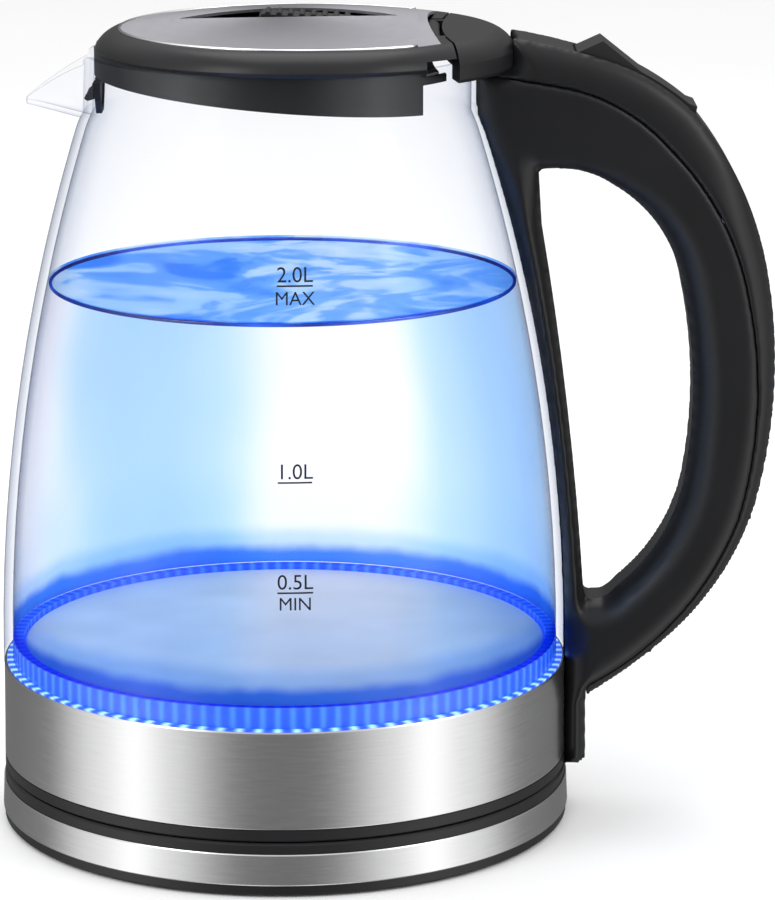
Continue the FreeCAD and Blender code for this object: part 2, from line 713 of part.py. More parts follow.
def lamps():
    """Clear light guide under the glass, with its ring of lamps on a board."""
    turned("led_light_guide", [from_wall(
        guide_outer - d.guide_width, guide_outer, guide_low, guide_low + d.guide_height)])
    turned("led_board", [from_wall(
        guide_outer - d.board_width, guide_outer - 0.2, board_top - d.board_thick, board_top)])
    body = new_body("leds", pieces=2)
    centre = guide_outer - d.guide_width / 2
    half = d.led_size / 2
    lamp = raise_from(body, "lamp", board_top, board_top + d.led_height, lambda s: outline(
        s, box_points(centre - half, centre + half, -half, half)))
    doc.recompute()
    polar(body, "ring", lamp, d.led_count)


# ---------------------------------------------------------------- glass
def beak(sketch, share, wall, above):
    """Cross-section of the spout at a share of its length: a V with a round bottom."""
    half = d.spout_half_root * (1 - share) + d.spout_half_tip * share - wall
    floor = d.spout_floor_root * (1 - share) + d.spout_floor_tip * share + wall
    rim = d.rim_height - d.spout_drop * max(share, 0) ** 1.5
    top = rim + above
    side = half * 0.76
    rise = (rim - floor) * 0.4
    bow = (side * side + rise * rise) / (2 * rise)
    outline(sketch, [(-half, top), (-half, rim), (-side, floor + rise),
                     (side, floor + rise, -bow), (half, rim), (half, top)]
            if above else
            [(-half, top), (-side, floor + rise), (side, floor + rise, -bow), (half, top)])


def spout_loft(body, name, kind, wall, above, shares):
    sections = []
    for number, share in enumerate(shares):
        sketch = new_sketch(body, "%s_%d" % (name, number), "YZ_Plane",
                            lift=-(spout_start + spout_length * share))
        beak(sketch, share, wall, above)
        sections.append(sketch)
    item = feature(body, kind, sections[0], name)
    item.Sections = sections[1:]
    return item


def glass_jug():
    shares = (0.0, 0.25, 0.5, 0.75, 1.0)
    body = new_body("glass_jug")
    sketch = new_sketch(body, "outside", "XZ_Plane")
    outline(sketch, [
        (0, d.glass_bottom), (d.glass_foot, d.glass_bottom),
        (shoulder_radius, d.shoulder_height, -d.belly_radius),
        (d.neck_radius, d.neck_start), (d.neck_radius, d.rim_height - 0.8),
        (d.neck_radius - 0.8, d.rim_height), (0, d.rim_height)])
    item = feature(body, "Revolution", sketch, "turn")
    item.ReferenceAxis = (sketch, ["V_Axis"])
    item.Angle = 360
    doc.recompute()
    spout_loft(body, "spout", "AdditiveLoft", Size.of(0), 0, shares)
    doc.recompute()
    cut_turn(body, "inside", [
        (0, d.glass_bottom - 1), (glass_inner, d.glass_bottom - 1), (glass_inner, d.glass_bottom),
        (shoulder_radius - d.glass_wall, d.shoulder_height, -d.belly_radius),
        (neck_inner, d.neck_start), (neck_inner, d.rim_height + 1), (0, d.rim_height + 1)])
    doc.recompute()
    spout_loft(body, "channel", "SubtractiveLoft", d.spout_wall, 6, (-0.3,) + shares[1:-1] + (1.08,))
    return body


# ---------------------------------------------------------------- handle
pivot_x = d.handle_reach - d.pivot_inset
strut_top_edge = d.strut_outer_foot - 0.2


screw_half = d.grip_half - 8.0
SCREW_PLACES = (
    ("low", d.handle_reach - 38.4, 53.5), ("high", d.handle_reach - 64.4, 202.0),
    ("rear", d.handle_reach - 17.4, 121.0))


def handle_outer():
    """Spine of the handle, from the nose over the top and down to the foot."""
    reach = d.handle_reach
    return [
        (44.0, 222.7), (reach - 55.6, 217.0, 148), (reach - 23.6, 200.3, 66),
        (reach - 2.2, 153.8, 97), (reach - 4.8, 89.5, 153), (reach - 30.0, 50.2, 84),
        (d.strut_outer_foot, 34.4, 138)]


def handle_seam(inset):
    """Line between the handle's body and its cover, from the foot up to the nose."""
    reach = d.handle_reach - inset
    return [
        (strut_top_edge, 38.4 + inset), (reach - 35.9, 48.7 + inset, -75), (reach - 9.8, 86.7, -93),
        (reach - 8.3, 149.5, -130), (reach - 31.1, 191.5 - inset, -79),
        (reach - 56.3, 207.0 - inset, -52), (44.0, 211.6 - inset, -230)]


def finger_gap(sketch):
    """The opening between the grip and the strut."""
    reach = d.handle_reach
    outline(sketch, [
        (84.6, 62.3), (reach - 47.4, 62.8), (reach - 43.0, 66.3, -9.6), (reach - 25.1, 95.3, -52),
        (reach - 26.1, 152.3, -141), (reach - 45.5, 180.4, -41), (reach - 59.9, 185.1, -25),
        (70.3, 185.1), (71.4, 169.2), (83.9, 66.3, 1000)])


def clear_of_jug(body, name):
    """Cuts a body back to just outside the jug's foot, skirt and glass."""
    low = d.strut_foot - 1
    edge = shoulder_radius + d.gap
    cut_turn(body, name, [
        (0, low), (d.glass_foot + 2 * d.gap, low), (d.glass_foot + 2 * d.gap, d.glass_bottom),
        (edge, d.shoulder_height, -d.belly_radius), (d.neck_radius + d.gap, d.neck_start),
        (d.neck_radius + d.gap, d.housing_bottom), (0, d.housing_bottom)])


def clear_of_housing(body, name):
    """Cuts the head back to just outside the round hinge housing."""
    cut_from(body, name, d.housing_bottom - d.seat, d.housing_top + 8,
             lambda s: circle(s, d.lid_offset, 0, d.lid_radius + d.seat))


def handle_body():
    body = new_body("handle_body")
    foot = d.strut_outer_foot
    side_pad(body, "side", d.grip_half, lambda s: outline(
        s, [(foot - 8, d.strut_foot), (foot - 2, d.strut_foot), (foot, d.strut_foot + 2)]
        + handle_seam(0) + [(44.0, 160.0), (72.0, 60.0)]))
    doc.recompute()
    side_cut(body, "finger_gap", d.grip_half + 1, finger_gap)
    doc.recompute()
    clear_of_jug(body, "jug_gap")
    doc.recompute()
    reach = d.handle_reach
    side_cut(body, "switch_room", d.rocker_half + 2 * d.gap, lambda s: outline(
        s, [(reach - 62.4, 190.5), (reach - 46, 187.0), (reach - 36.4, 182.5),
            (reach - 27.0, 189.0), (reach - 39.4, 204.0), (reach - 62.4, 213.0)]))
    doc.recompute()
    for name, x, z in SCREW_PLACES:
        sketch = new_sketch(body, "screw_hole_" + name, "XZ_Plane", lift=screw_half + d.seat)
        circle(sketch, x, z, d.handle_screw_radius + d.seat)
        hole = feature(body, "Pocket", sketch, "screw_pocket_" + name)
        bind(hole, "Length", screw_half + d.grip_half + 1)
        doc.recompute()
    return body


def rocker_side(sketch, grow, window):
    """Side view of the wedge-shaped rocker, or of its window, which reaches past the cover."""
    x, z = pivot_x, d.pivot_height
    front = d.rocker_front + grow
    rear = d.rocker_rear + grow
    drop = 6 if window else 0

    def reach(radius, rise):
        return (radius * radius - Size.of(rise) * rise).root()

    front_rise, front_low = 12.2, 2.0 - drop
    rear_rise, rear_low = -2.6, -6.5 - drop / 2
    points = [
        (x - reach(front, front_rise), z + front_rise),
        (x - reach(front, front_low), z + front_low, -front),
        (x + reach(rear, rear_low), z + rear_low),
        (x + reach(rear, rear_rise), z + rear_rise, -rear)]
    if window:
        points += [(x + reach(rear, rear_rise), z + 30), (x - reach(front, front_rise), z + 30)]
    else:
        points += [(x + 14.2, z - 1.8), (x + 1.1, z + 6.9, -80), (x - 9.5, z + 15.3)]
    outline(sketch, points)


def handle_cover():
    body = new_body("handle_cover")
    inner = handle_seam(-d.seat)
    side_pad(body, "side", d.grip_half, lambda s: outline(s, handle_outer() + inner))
    doc.recompute()
    clear_of_housing(body, "housing_gap")
    doc.recompute()
    clear_of_jug(body, "jug_gap")
    doc.recompute()
    side_cut(body, "rocker_window", d.rocker_half + d.gap, lambda s: rocker_side(s, d.gap, True))
    doc.recompute()
    sketch = new_sketch(body, "pin_bore", "XZ_Plane")
    circle(sketch, pivot_x, d.pivot_height, d.rocker_pin_radius)
    bore = feature(body, "Pocket", sketch, "pin_bore_pocket")
    bore.Midplane = True
    bind(bore, "Length", 2 * (d.rocker_half + 2.6))
    return body


def switch():
    """Rocker, its pin and the steam switch below it."""
    rocker = new_body("switch_rocker")
    side_pad(rocker, "side", d.rocker_half, lambda s: rocker_side(s, 0, False))
    doc.recompute()
    side_cut(rocker, "bore", d.rocker_half + 1, lambda s: circle(
        s, pivot_x, d.pivot_height, d.rocker_pin_radius + d.rocker_bore_gap))
    pin = new_body("rocker_pin")
    side_pad(pin, "side", d.rocker_half + 2.5, lambda s: circle(
        s, pivot_x, d.pivot_height, d.rocker_pin_radius))
    block = new_body("steam_switch")
    back = d.handle_reach - 32.6
    side_pad(block, "side", d.switch_half, lambda s: outline(
        s, [(back - d.switch_length, 190.4), (back, 186.2), (back, 186.2 + d.switch_height - 2),
            (back - 8, 186.2 + d.switch_height), (back - d.switch_length, 190.4 + d.switch_height)]))
    disc = new_body("steam_bimetal")
    side_pad(disc, "side", d.switch_half - 1, lambda s: outline(
        s, box_points(back - d.switch_length - 1.6, back - d.switch_length - 1.0, 191, 202)))


def handle_screws():
    """Three screws that hold the handle's halves together, sunk in from its far side."""
    body = new_body("handle_screws", pieces=3)
    for name, x, z in SCREW_PLACES:
        side_pad(body, name, screw_half, lambda s: circle(s, x, z, d.handle_screw_radius))
        doc.recompute()
    return body


# ---------------------------------------------------------------- hinge housing
def rim_side(inner, low):
    """Outline of the lid's rounded rim about the lid's own axis."""
    radius = d.lid_radius
    return [(inner, low), (radius - 1.0, low), (radius, low + 1.0), (radius, d.lid_bottom + 1.2),
            (d.trim_radius + 0.7, d.housing_top, -9), (inner, d.housing_top)]


def hinge_housing():
    """Rear part of the lid's circle: it carries the lid's hinge and joins the handle."""
    body = turned("hinge_housing", [rim_side(0, d.housing_bottom)], shift=d.lid_offset)
    doc.recompute()
    cut_from(body, "front", d.housing_bottom - 1, d.housing_top + 1, lambda s: nose(s, 0, False))
    doc.recompute()
    cut_turn(body, "neck_gap", [
        (0, d.housing_bottom - 1), (d.neck_radius + d.gap, d.housing_bottom - 1),
        (d.neck_radius + d.gap, d.rim_height + d.gap), (0, d.rim_height + d.gap)])
    doc.recompute()
    near = d.barrel_half + d.gap
    front = d.hinge_x - d.barrel_radius - 0.2

    def ears(sketch):
        for side in (-1, 1):
            outline(sketch, box_points(front, d.nose_front + 3, side * near, side * (near + d.ear_width)))

    raise_from(body, "ears", d.lid_bottom + 0.4, d.hinge_height + d.barrel_radius, ears)
    doc.recompute()
    side_cut(body, "pin_bore", near + d.ear_width + 1, lambda s: circle(
        s, d.hinge_x, d.hinge_height, d.hinge_pin_radius))
    pin = new_body("hinge_pin")
    side_pad(pin, "side", near + d.ear_width, lambda s: circle(
        s, d.hinge_x, d.hinge_height, d.hinge_pin_radius))


# ---------------------------------------------------------------- lid
def behind_disc(sketch, radius, grow):
    """A circle about the lid's axis, cut off by a curve that runs parallel to the nose."""
    x, r = d.lid_offset, Size.of(radius)
    big = d.nose_radius + grow
    apart = nose_centre - x
    along = (r * r - big * big + apart * apart) / (2 * apart)
    half = (r * r - along * along).root()
    outline(sketch, [(x + along, -half, -big), (x, -r, r), (x - r, 0, r), (x, r, r),
                     (x + along, half, r)])


def lens(sketch, grow, ahead=0):
    """The grip recess: two arcs that meet in points at its front and rear."""
    length = d.lens_length / 2 + grow
    half = d.lens_half + grow
    middle = d.lens_centre - ahead
    bow = (length * length + half * half) / (2 * half)
    outline(sketch, [(middle - length, 0, bow), (middle + length, 0, bow)])


def cut_at_nose(body, name, grow):
    cut_from(body, name, d.cup_low - 1, d.tab_top + 4, lambda s: nose(s, grow, True))


def lid_rim():
    web_low = d.lid_bottom + 1.9
    web_top = web_low + d.web_thick
    seat_height = d.trim_height - d.disc_thick - d.seat
    radius = d.lid_radius
    body = turned("lid_rim", [
        [(0, web_low), (radius - 3.4, web_low), (radius - 3.4, d.lid_bottom)]
        + rim_side(0, d.lid_bottom)[1:]], shift=d.lid_offset)
    doc.recompute()
    cut_from(body, "well", web_top, d.housing_top + 1, lambda s: behind_disc(
        s, d.trim_radius - 2.5, d.strip_width + 2.5))
    doc.recompute()
    cut_from(body, "seat", seat_height, d.housing_top + 1, lambda s: behind_disc(
        s, d.trim_radius + d.seat, d.strip_width - d.seat))
    doc.recompute()
    cut_at_nose(body, "rear", d.nose_gap)
    doc.recompute()
    cut_from(body, "relief", d.lid_bottom - 1, d.rear_relief, lambda s: outline(
        s, box_points(d.hinge_x - 2.6, 70, -60, 60)))
    doc.recompute()
    notch_end = d.barrel_half + d.ear_width + 2 * d.gap

    def notches(sketch):
        for side in (-1, 1):
            outline(sketch, box_points(
                d.hinge_x - 2.6, 70, side * d.barrel_half, side * notch_end))

    cut_from(body, "ear_notches", d.lid_bottom - 1, d.housing_top + 1, notches)
    doc.recompute()
    x, z, r = d.hinge_x, d.hinge_height, d.barrel_radius
    side_cut(body, "barrel", d.barrel_half + 0.1, lambda s: outline(
        s, [(x + r, z - 3), (x + r, z), (x, z + r, -r), (x, z + 6), (x + 8, z + 6), (x + 8, z - 3)]))
    doc.recompute()
    side_cut(body, "pin_bore", d.barrel_half + 1, lambda s: circle(
        s, x, z, d.hinge_pin_radius + d.hinge_bore_gap))
    doc.recompute()
    cut_from(body, "skirt_seat", d.lid_bottom - 3, web_low, lambda s: circle(
        s, 0, 0, cup_radius + d.seat))
    doc.recompute()
    slot_low = web_low - 1
    cut_from(body, "stem_slot", slot_low, web_top + 1, lambda s: outline(
        s, box_points(-3, 10 + d.latch_travel, -3 - d.gap, 3 + d.gap)))
    doc.recompute()
    raise_from(body, "spring_post", d.under_height + d.under_plate + 0.6, web_low,
               lambda s: outline(s, box_points(d.post_front, d.post_front + 2, -3, 3)))
    return body


def lid_disc():
    crown = d.disc_crown
    edge = d.trim_radius
    bow = (edge * edge + crown * crown) / (2 * crown)
    low = d.trim_height - d.disc_thick
    body = turned("lid_disc", [[
        (edge, low, bow), (edge, d.trim_height), (0, d.trim_height + crown, -bow),
        (0, low + crown)]], shift=d.lid_offset)
    doc.recompute()
    cut_at_nose(body, "rear", d.strip_width)
    doc.recompute()
    cut_from(body, "lens", low - 1, d.tab_top + 4, lambda s: lens(s, 0))
    return body


def lid_grip_recess():
    """Lens-shaped tray under the steel disc, which leaves room for the fingertips."""
    body = new_body("lid_grip_recess")
    low = d.lid_bottom + 1.9 + d.web_thick + d.seat
    high = d.trim_height + 1.6
    raise_from(body, "wall", low, high, lambda s: lens(s, -d.seat))
    doc.recompute()
    cut_from(body, "hollow", low + d.lens_wall, high + 1, lambda s: lens(s, -d.seat - d.lens_wall))
    doc.recompute()
    cut_from(body, "stem_slot", low - 1, low + d.lens_wall + 1, lambda s: outline(
        s, box_points(-3, 10 + d.latch_travel, -3 - d.gap, 3 + d.gap)))
    return body


def lid_inner_skirt():
    """Skirt that reaches into the neck; its lower edge slopes down towards the handle."""
    top = d.lid_bottom + 1.9 - d.seat
    body = turned("lid_inner_skirt", [from_wall(
        cup_radius - d.cup_wall, cup_radius, d.cup_low - 3, top)])
    slope = (d.cup_high - d.cup_low) / (2 * d.cup_run)
    middle = (d.cup_high + d.cup_low) / 2
    doc.recompute()
    side_cut(body, "slope", 70, lambda s: outline(
        s, [(-70, middle + 70 * slope), (-70, 180), (d.cup_step, 180), (d.cup_step, middle - slope * d.cup_step)]))
    doc.recompute()
    side_cut(body, "step", 70, lambda s: outline(
        s, box_points(d.cup_step, 70, 180, d.cup_step_height)))
    doc.recompute()
    cut_at_nose(body, "rear", d.nose_gap)
    doc.recompute()
    cut_from(body, "relief", d.rear_relief - 6, d.rear_relief, lambda s: outline(
        s, box_points(d.hinge_x - 2.6, 70, -60, 60)))
    doc.recompute()
    bolt_low = d.lid_bottom + 1.9 - 0.4 - d.bolt_thick
    cut_from(body, "bolt_window", bolt_low - d.gap, top + 1, lambda s: outline(
        s, box_points(-60, -40, -d.window_half, d.window_half)))
    return body


def lid_under_plate():
    body = turned("lid_under_plate", [from_wall(
        0, cup_radius - d.cup_wall - d.seat, d.under_height, d.under_height + d.under_plate)])
    doc.recompute()
    cut_at_nose(body, "rear", d.nose_gap + 2)
    return body


def lid_screws():
    """Three screws that hold the under plate to posts below the web."""
    posts = new_body("lid_posts", pieces=3)
    high = d.lid_bottom + 1.9 - d.seat
    low = d.under_height + d.under_plate + d.seat
    places = ((-24, 27), (-24, -27), (30, 24), (30, -24))

    def draw(radius):
        def circles(sketch):
            for x, y in places:
                circle(sketch, x, y, radius)
        return circles

    raise_from(posts, "posts", low, high, draw(3.0))
    screws = new_body("lid_screws", pieces=3)
    raise_from(screws, "heads", d.under_height - 1.0, d.under_height - d.seat, draw(2.4))


def latch():
    """Ribbed tab in the recess, and the bolt that it pulls back."""
    web_low = d.lid_bottom + 1.9
    floor = web_low + d.web_thick + d.seat + d.lens_wall
    bolt_top = web_low - 0.4
    bolt = new_body("latch_bolt")
    raise_from(bolt, "bar", bolt_top - d.bolt_thick, bolt_top, lambda s: outline(
        s, box_points(-(cup_radius - 1.2), d.bolt_end, -d.bolt_half, d.bolt_half)))
    doc.recompute()
    raise_from(bolt, "stem", bolt_top, floor + d.gap, lambda s: outline(
        s, box_points(-2.4, 9.4, -3, 3)))
    tab = new_body("latch_tab")
    half = d.tab_half
    low = floor + d.gap
    front, back = d.tab_start, d.tab_end
    side_pad(tab, "side", half, lambda s: outline(
        s, [(front + 1.5, low), (back - 3, low), (back, d.tab_top - d.tab_slope - 1.6),
            (back - 1, d.tab_top - d.tab_slope - 0.8), (front + 1, d.tab_top - 0.6),
            (front, d.tab_top - 1.6)]))
    doc.recompute()
    ribs = new_sketch(tab, "ribs", "XZ_Plane")
    slope = d.tab_slope / (back - front)
    for number in range(int(d.rib_count.value)):
        along = 2.4 + number * d.rib_pitch
        circle(ribs, front + along, d.tab_top - 0.7 - slope * along, d.rib_radius)
    item = feature(tab, "Pad", ribs, "ribs_pad")
    item.Midplane = True
    bind(item, "Length", 2 * (half - 0.4))
    doc.recompute()

    def beside_recess(sketch):
        """All of the tab that would meet the recess's wall on its way back."""
        outline(sketch, box_points(d.lens_centre - d.lens_length, d.lens_centre + d.lens_length,
                                   -2 * d.lens_half, 2 * d.lens_half))
        lens(sketch, -d.seat - d.lens_wall - d.gap, d.latch_travel)

    cut_from(tab, "taper", low - 1, d.tab_top + 2, beside_recess)


def latch_spring():
    """Compression spring between the bolt's end and the lid's post, wound along X."""
    body = new_body("latch_spring")
    height = d.lid_bottom + 1.9 - 0.4 - d.bolt_thick / 2
    sketch = new_sketch(body, "wire", "XZ_Plane", rise=height)
    start = d.bolt_end + d.spring_wire + 2 * d.seat
    circle(sketch, start, d.spring_radius - d.spring_wire, d.spring_wire)
    doc.recompute()
    coil = body.newObject("PartDesign::AdditiveHelix", "latch_spring_coil")
    coil.Profile = sketch
    coil.ReferenceAxis = (sketch, ["H_Axis"])
    coil.Mode = 2
    bind(coil, "Turns", d.spring_turns)
    bind(coil, "Height", d.post_front - start - d.spring_wire - 2 * d.seat)
    return body


# ---------------------------------------------------------------- spout filter
def spout_filter():
    """Frame and mesh across the root of the spout, with claws that hook into the spout."""
    frame = new_body("filter_frame")
    near = -(d.filter_x)
    floor = d.spout_floor_root + 4.0
    top = d.filter_top

    def shield(inset):
        return [(-10.4 + inset, top - inset), (-8.2 + inset, floor + 4.2), (-4 + inset / 2, floor + inset),
                (4 - inset / 2, floor + inset), (8.2 - inset, floor + 4.2), (10.4 - inset, top - inset)]

    for name, kind, inset in (("frame", "Pad", 0), ("window", "Pocket", d.filter_rim)):
        sketch = new_sketch(frame, name, "YZ_Plane", lift=near)
        outline(sketch, shield(inset))
        item = feature(frame, kind, sketch, name + "_" + kind.lower())
        bind(item, "Length", d.filter_thick)
        if kind == "Pocket":
            item.Reversed = True
        doc.recompute()
    for side in (-1, 1):
        sketch = new_sketch(frame, "claw_%d" % side, "XZ_Plane", lift=side * 5.6)
        outline(sketch, [
            (near + 0.5, top), (near - 0.2, top + 0.3), (near - 0.9, top - 0.8), (near - 0.3, top - 1.6),
            (near - 2.6, top - 3.6), (near - 3.1, top - 4.7), (near - 2.2, top - 5.4),
            (near + 0.5, top - 4.6)])
        item = feature(frame, "Pad", sketch, "claw_pad_%d" % side)
        item.Midplane = True
        item.Length = 1.4
        doc.recompute()
    mesh = new_body("filter_mesh")
    sketch = new_sketch(mesh, "sheet", "YZ_Plane", lift=near + d.filter_thick / 2 - d.mesh_thick / 2)
    outline(sketch, shield(d.filter_rim + d.seat))
    item = feature(mesh, "Pad", sketch, "sheet_pad")
    bind(item, "Length", d.mesh_thick)


# ---------------------------------------------------------------- build and export
BUILDERS = (
    base_lower_cover, base_foot_ring, base_steel_band, base_upper_cover, connector_tower,
    connector_contacts, cord_gland, base_screws, base_leads, connector_socket, jug_lower_cover,
    jug_steel_skirt, heater, dry_boil_controller, lamps, glass_jug, handle_body, handle_cover,
    switch, handle_screws, hinge_housing, lid_rim, lid_disc, lid_grip_recess, lid_inner_skirt,
    lid_under_plate, lid_screws, latch, latch_spring, spout_filter)


def export():
    """Checks every object and writes each sub-part to a file named after its label."""
    doc.recompute()
    for item in doc.Objects:
        if "Invalid" in item.State or "Error" in item.State:
            raise RuntimeError("%s failed: %s" % (item.Label, item.State))
    os.makedirs("parts", exist_ok=True)
    parts = [item for item in doc.Objects if item.TypeId in ("PartDesign::Body", "Part::Torus")]
    for item in parts:
        if item.Shape.isNull() or not item.Shape.isValid():
            raise RuntimeError(item.Label + " has no valid shape")
    for item in parts:
        item.Shape.exportStep("parts/%s.step" % item.Label)
        print("%-22s %9.1f mm3  %d solids" % (item.Label, item.Shape.Volume, len(item.Shape.Solids)))


for build in BUILDERS:
    build()
    doc.recompute()
export()
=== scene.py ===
"""Looks of the cordless glass kettle: finishes, water, glow, volume marks, studio and camera."""

import math

import bmesh
import bpy
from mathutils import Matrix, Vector
from mathutils.bvhtree import BVHTree
from mathutils.kdtree import KDTree


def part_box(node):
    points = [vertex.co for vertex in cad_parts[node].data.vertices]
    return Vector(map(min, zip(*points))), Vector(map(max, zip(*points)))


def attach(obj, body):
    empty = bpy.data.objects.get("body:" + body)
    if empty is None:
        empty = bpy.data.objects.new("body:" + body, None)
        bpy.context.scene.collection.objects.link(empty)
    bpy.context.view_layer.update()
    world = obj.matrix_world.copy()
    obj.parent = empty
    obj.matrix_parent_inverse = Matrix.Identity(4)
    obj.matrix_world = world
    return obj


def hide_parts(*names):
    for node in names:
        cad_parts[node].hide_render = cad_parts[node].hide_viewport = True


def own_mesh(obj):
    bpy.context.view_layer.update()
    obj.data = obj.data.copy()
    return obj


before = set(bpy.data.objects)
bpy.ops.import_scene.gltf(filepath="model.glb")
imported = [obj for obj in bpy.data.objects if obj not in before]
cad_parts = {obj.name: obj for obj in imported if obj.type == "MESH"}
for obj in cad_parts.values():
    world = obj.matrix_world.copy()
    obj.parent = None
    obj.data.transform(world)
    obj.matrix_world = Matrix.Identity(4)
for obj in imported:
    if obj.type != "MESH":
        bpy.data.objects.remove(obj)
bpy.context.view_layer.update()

MM = 0.001
BASE_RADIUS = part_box("base_steel_band")[1].x
PLATE_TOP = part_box("heating_plate")[1].z
GASKET_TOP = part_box("plate_gasket")[1].z

WATER_LEVEL = 152.4 * MM
WATER_GAP = 0.25 * MM
WATER_RISE = 1.1 * MM
WATER_CLEAR = 0.2 * MM
RISE_WIDTH = 3.0 * MM
WALL_STEPS = 40
RISE_STEPS = 8
LEVEL_STEPS = 24
EDGE_SIDES = 16
RING_STEPS = 192
MARK_CENTRE_X = 4.8 * MM
MARK_LIFT = 0.05 * MM
MARK_RULE = 0.45 * MM
MARK_STEPS = 12
LINE_STEPS = 120
LINE_END = 6.0 * MM
LINE_INSET = 0.35 * MM
LINE_RADIUS = 0.42 * MM
DISC_EDGE = 222.75 * MM
CAMERA_PLACE = (0.029, -1.100, 0.361)
CAMERA_DIP = math.radians(13.15)
LENS = 161.44
SENSOR = 36.0
FLOOR_HALF = 6.0
WELD = 0.002 * MM
OUTLINE_STEP = 1.0 * MM
SEAM_WIDTH = 1.2 * MM
HANDLE_VOXEL = 0.8 * MM
ROUNDING = 9.0 * MM
GRIP_CORE = 3.5 * MM
ROCKER_CORE = 9.2 * MM
CORE_LOW, CORE_HIGH = 165.0 * MM, 192.0 * MM

# ---------------------------------------------------------------- node helpers


def new_material(name):
    """A material with its own empty tree, an output and one Principled shader."""
    mat = bpy.data.materials.new(name)
    mat.use_nodes = True
    tree = mat.node_tree
    tree.nodes.clear()
    output = tree.nodes.new("ShaderNodeOutputMaterial")
    shader = tree.nodes.new("ShaderNodeBsdfPrincipled")
    tree.links.new(shader.outputs["BSDF"], output.inputs["Surface"])
    return mat, tree, shader, output


def math_node(tree, operation, first, second=None):
    node = tree.nodes.new("ShaderNodeMath")
    node.operation = operation
    for index, value in enumerate((first, second)):
        if value is None:
            continue
        if isinstance(value, (int, float)):
            node.inputs[index].default_value = value
        else:
            tree.links.new(value, node.inputs[index])
    return node.outputs[0]


def object_axes(tree):
    coords = tree.nodes.new("ShaderNodeTexCoord")
    split = tree.nodes.new("ShaderNodeSeparateXYZ")
    tree.links.new(coords.outputs["Object"], split.inputs[0])
    return coords.outputs["Object"], split.outputs


def noise(tree, vector, scale, detail=3.0, distortion=0.0):
    node = tree.nodes.new("ShaderNodeTexNoise")
    node.inputs["Scale"].default_value = scale
    node.inputs["Detail"].default_value = detail
    node.inputs["Distortion"].default_value = distortion
    tree.links.new(vector, node.inputs["Vector"])
    return node.outputs["Fac"]


def ramp(tree, factor, stops, interpolation="LINEAR"):
    """A colour ramp through (place, colour) stops."""
    node = tree.nodes.new("ShaderNodeValToRGB")
    node.color_ramp.interpolation = interpolation
    elements = node.color_ramp.elements
    while len(elements) < len(stops):
        elements.new(0.5)
    for element, (place, colour) in zip(elements, stops):
        element.position = place
        element.color = (*colour, 1.0)
    tree.links.new(factor, node.inputs["Fac"])
    return node.outputs["Color"]


def spread(tree, factor, low, high):
    """A factor from 0 to 1 turned into a value between low and high."""
    node = tree.nodes.new("ShaderNodeMapRange")
    node.inputs["To Min"].default_value = low
    node.inputs["To Max"].default_value = high
    tree.links.new(factor, node.inputs["Value"])
    return node.outputs["Result"]


def spread_from(tree, value, low, high):
    """How far a value is between low and high, from 0 to 1."""
    node = tree.nodes.new("ShaderNodeMapRange")
    node.inputs["From Min"].default_value = low
    node.inputs["From Max"].default_value = high
    tree.links.new(value, node.inputs["Value"])
    return node.outputs["Result"]


def bump(tree, shader, height, strength, distance):
    node = tree.nodes.new("ShaderNodeBump")
    node.inputs["Strength"].default_value = strength
    node.inputs["Distance"].default_value = distance
    tree.links.new(height, node.inputs["Height"])
    tree.links.new(node.outputs["Normal"], shader.inputs["Normal"])


def mixed_colour(tree, factor, first, second):
    node = tree.nodes.new("ShaderNodeMix")
    node.data_type = "RGBA"
    tree.links.new(factor, node.inputs[0])
    for socket, value in ((node.inputs[6], first), (node.inputs[7], second)):
        if isinstance(value, tuple):
            socket.default_value = (*value, 1.0)
        else:
            tree.links.new(value, socket)
    return node.outputs[2]


# ---------------------------------------------------------------- solid finishes


def moulded(name, colour, roughness, grain=1500.0, relief=0.12, specular=0.28, metallic=0.0):
    """Moulded, cast or plated stock: a fine grain in the relief, and drifting gloss and tone."""
    mat, tree, shader, _ = new_material(name)
    where, _ = object_axes(tree)
    drift = noise(tree, where, 38.0, 4.0)
    fine = noise(tree, where, grain, 2.0)
    shade = tuple(0.82 * c for c in colour)
    light = tuple(min(1.0, 1.16 * c) for c in colour)
    tree.links.new(mixed_colour(tree, drift, shade, light), shader.inputs["Base Color"])
    tree.links.new(spread(tree, drift, roughness - 0.05, roughness + 0.07), shader.inputs["Roughness"])
    shader.inputs["Specular IOR Level"].default_value = specular
    shader.inputs["Metallic"].default_value = metallic
    bump(tree, shader, fine, relief, 0.05 * MM)
    return mat


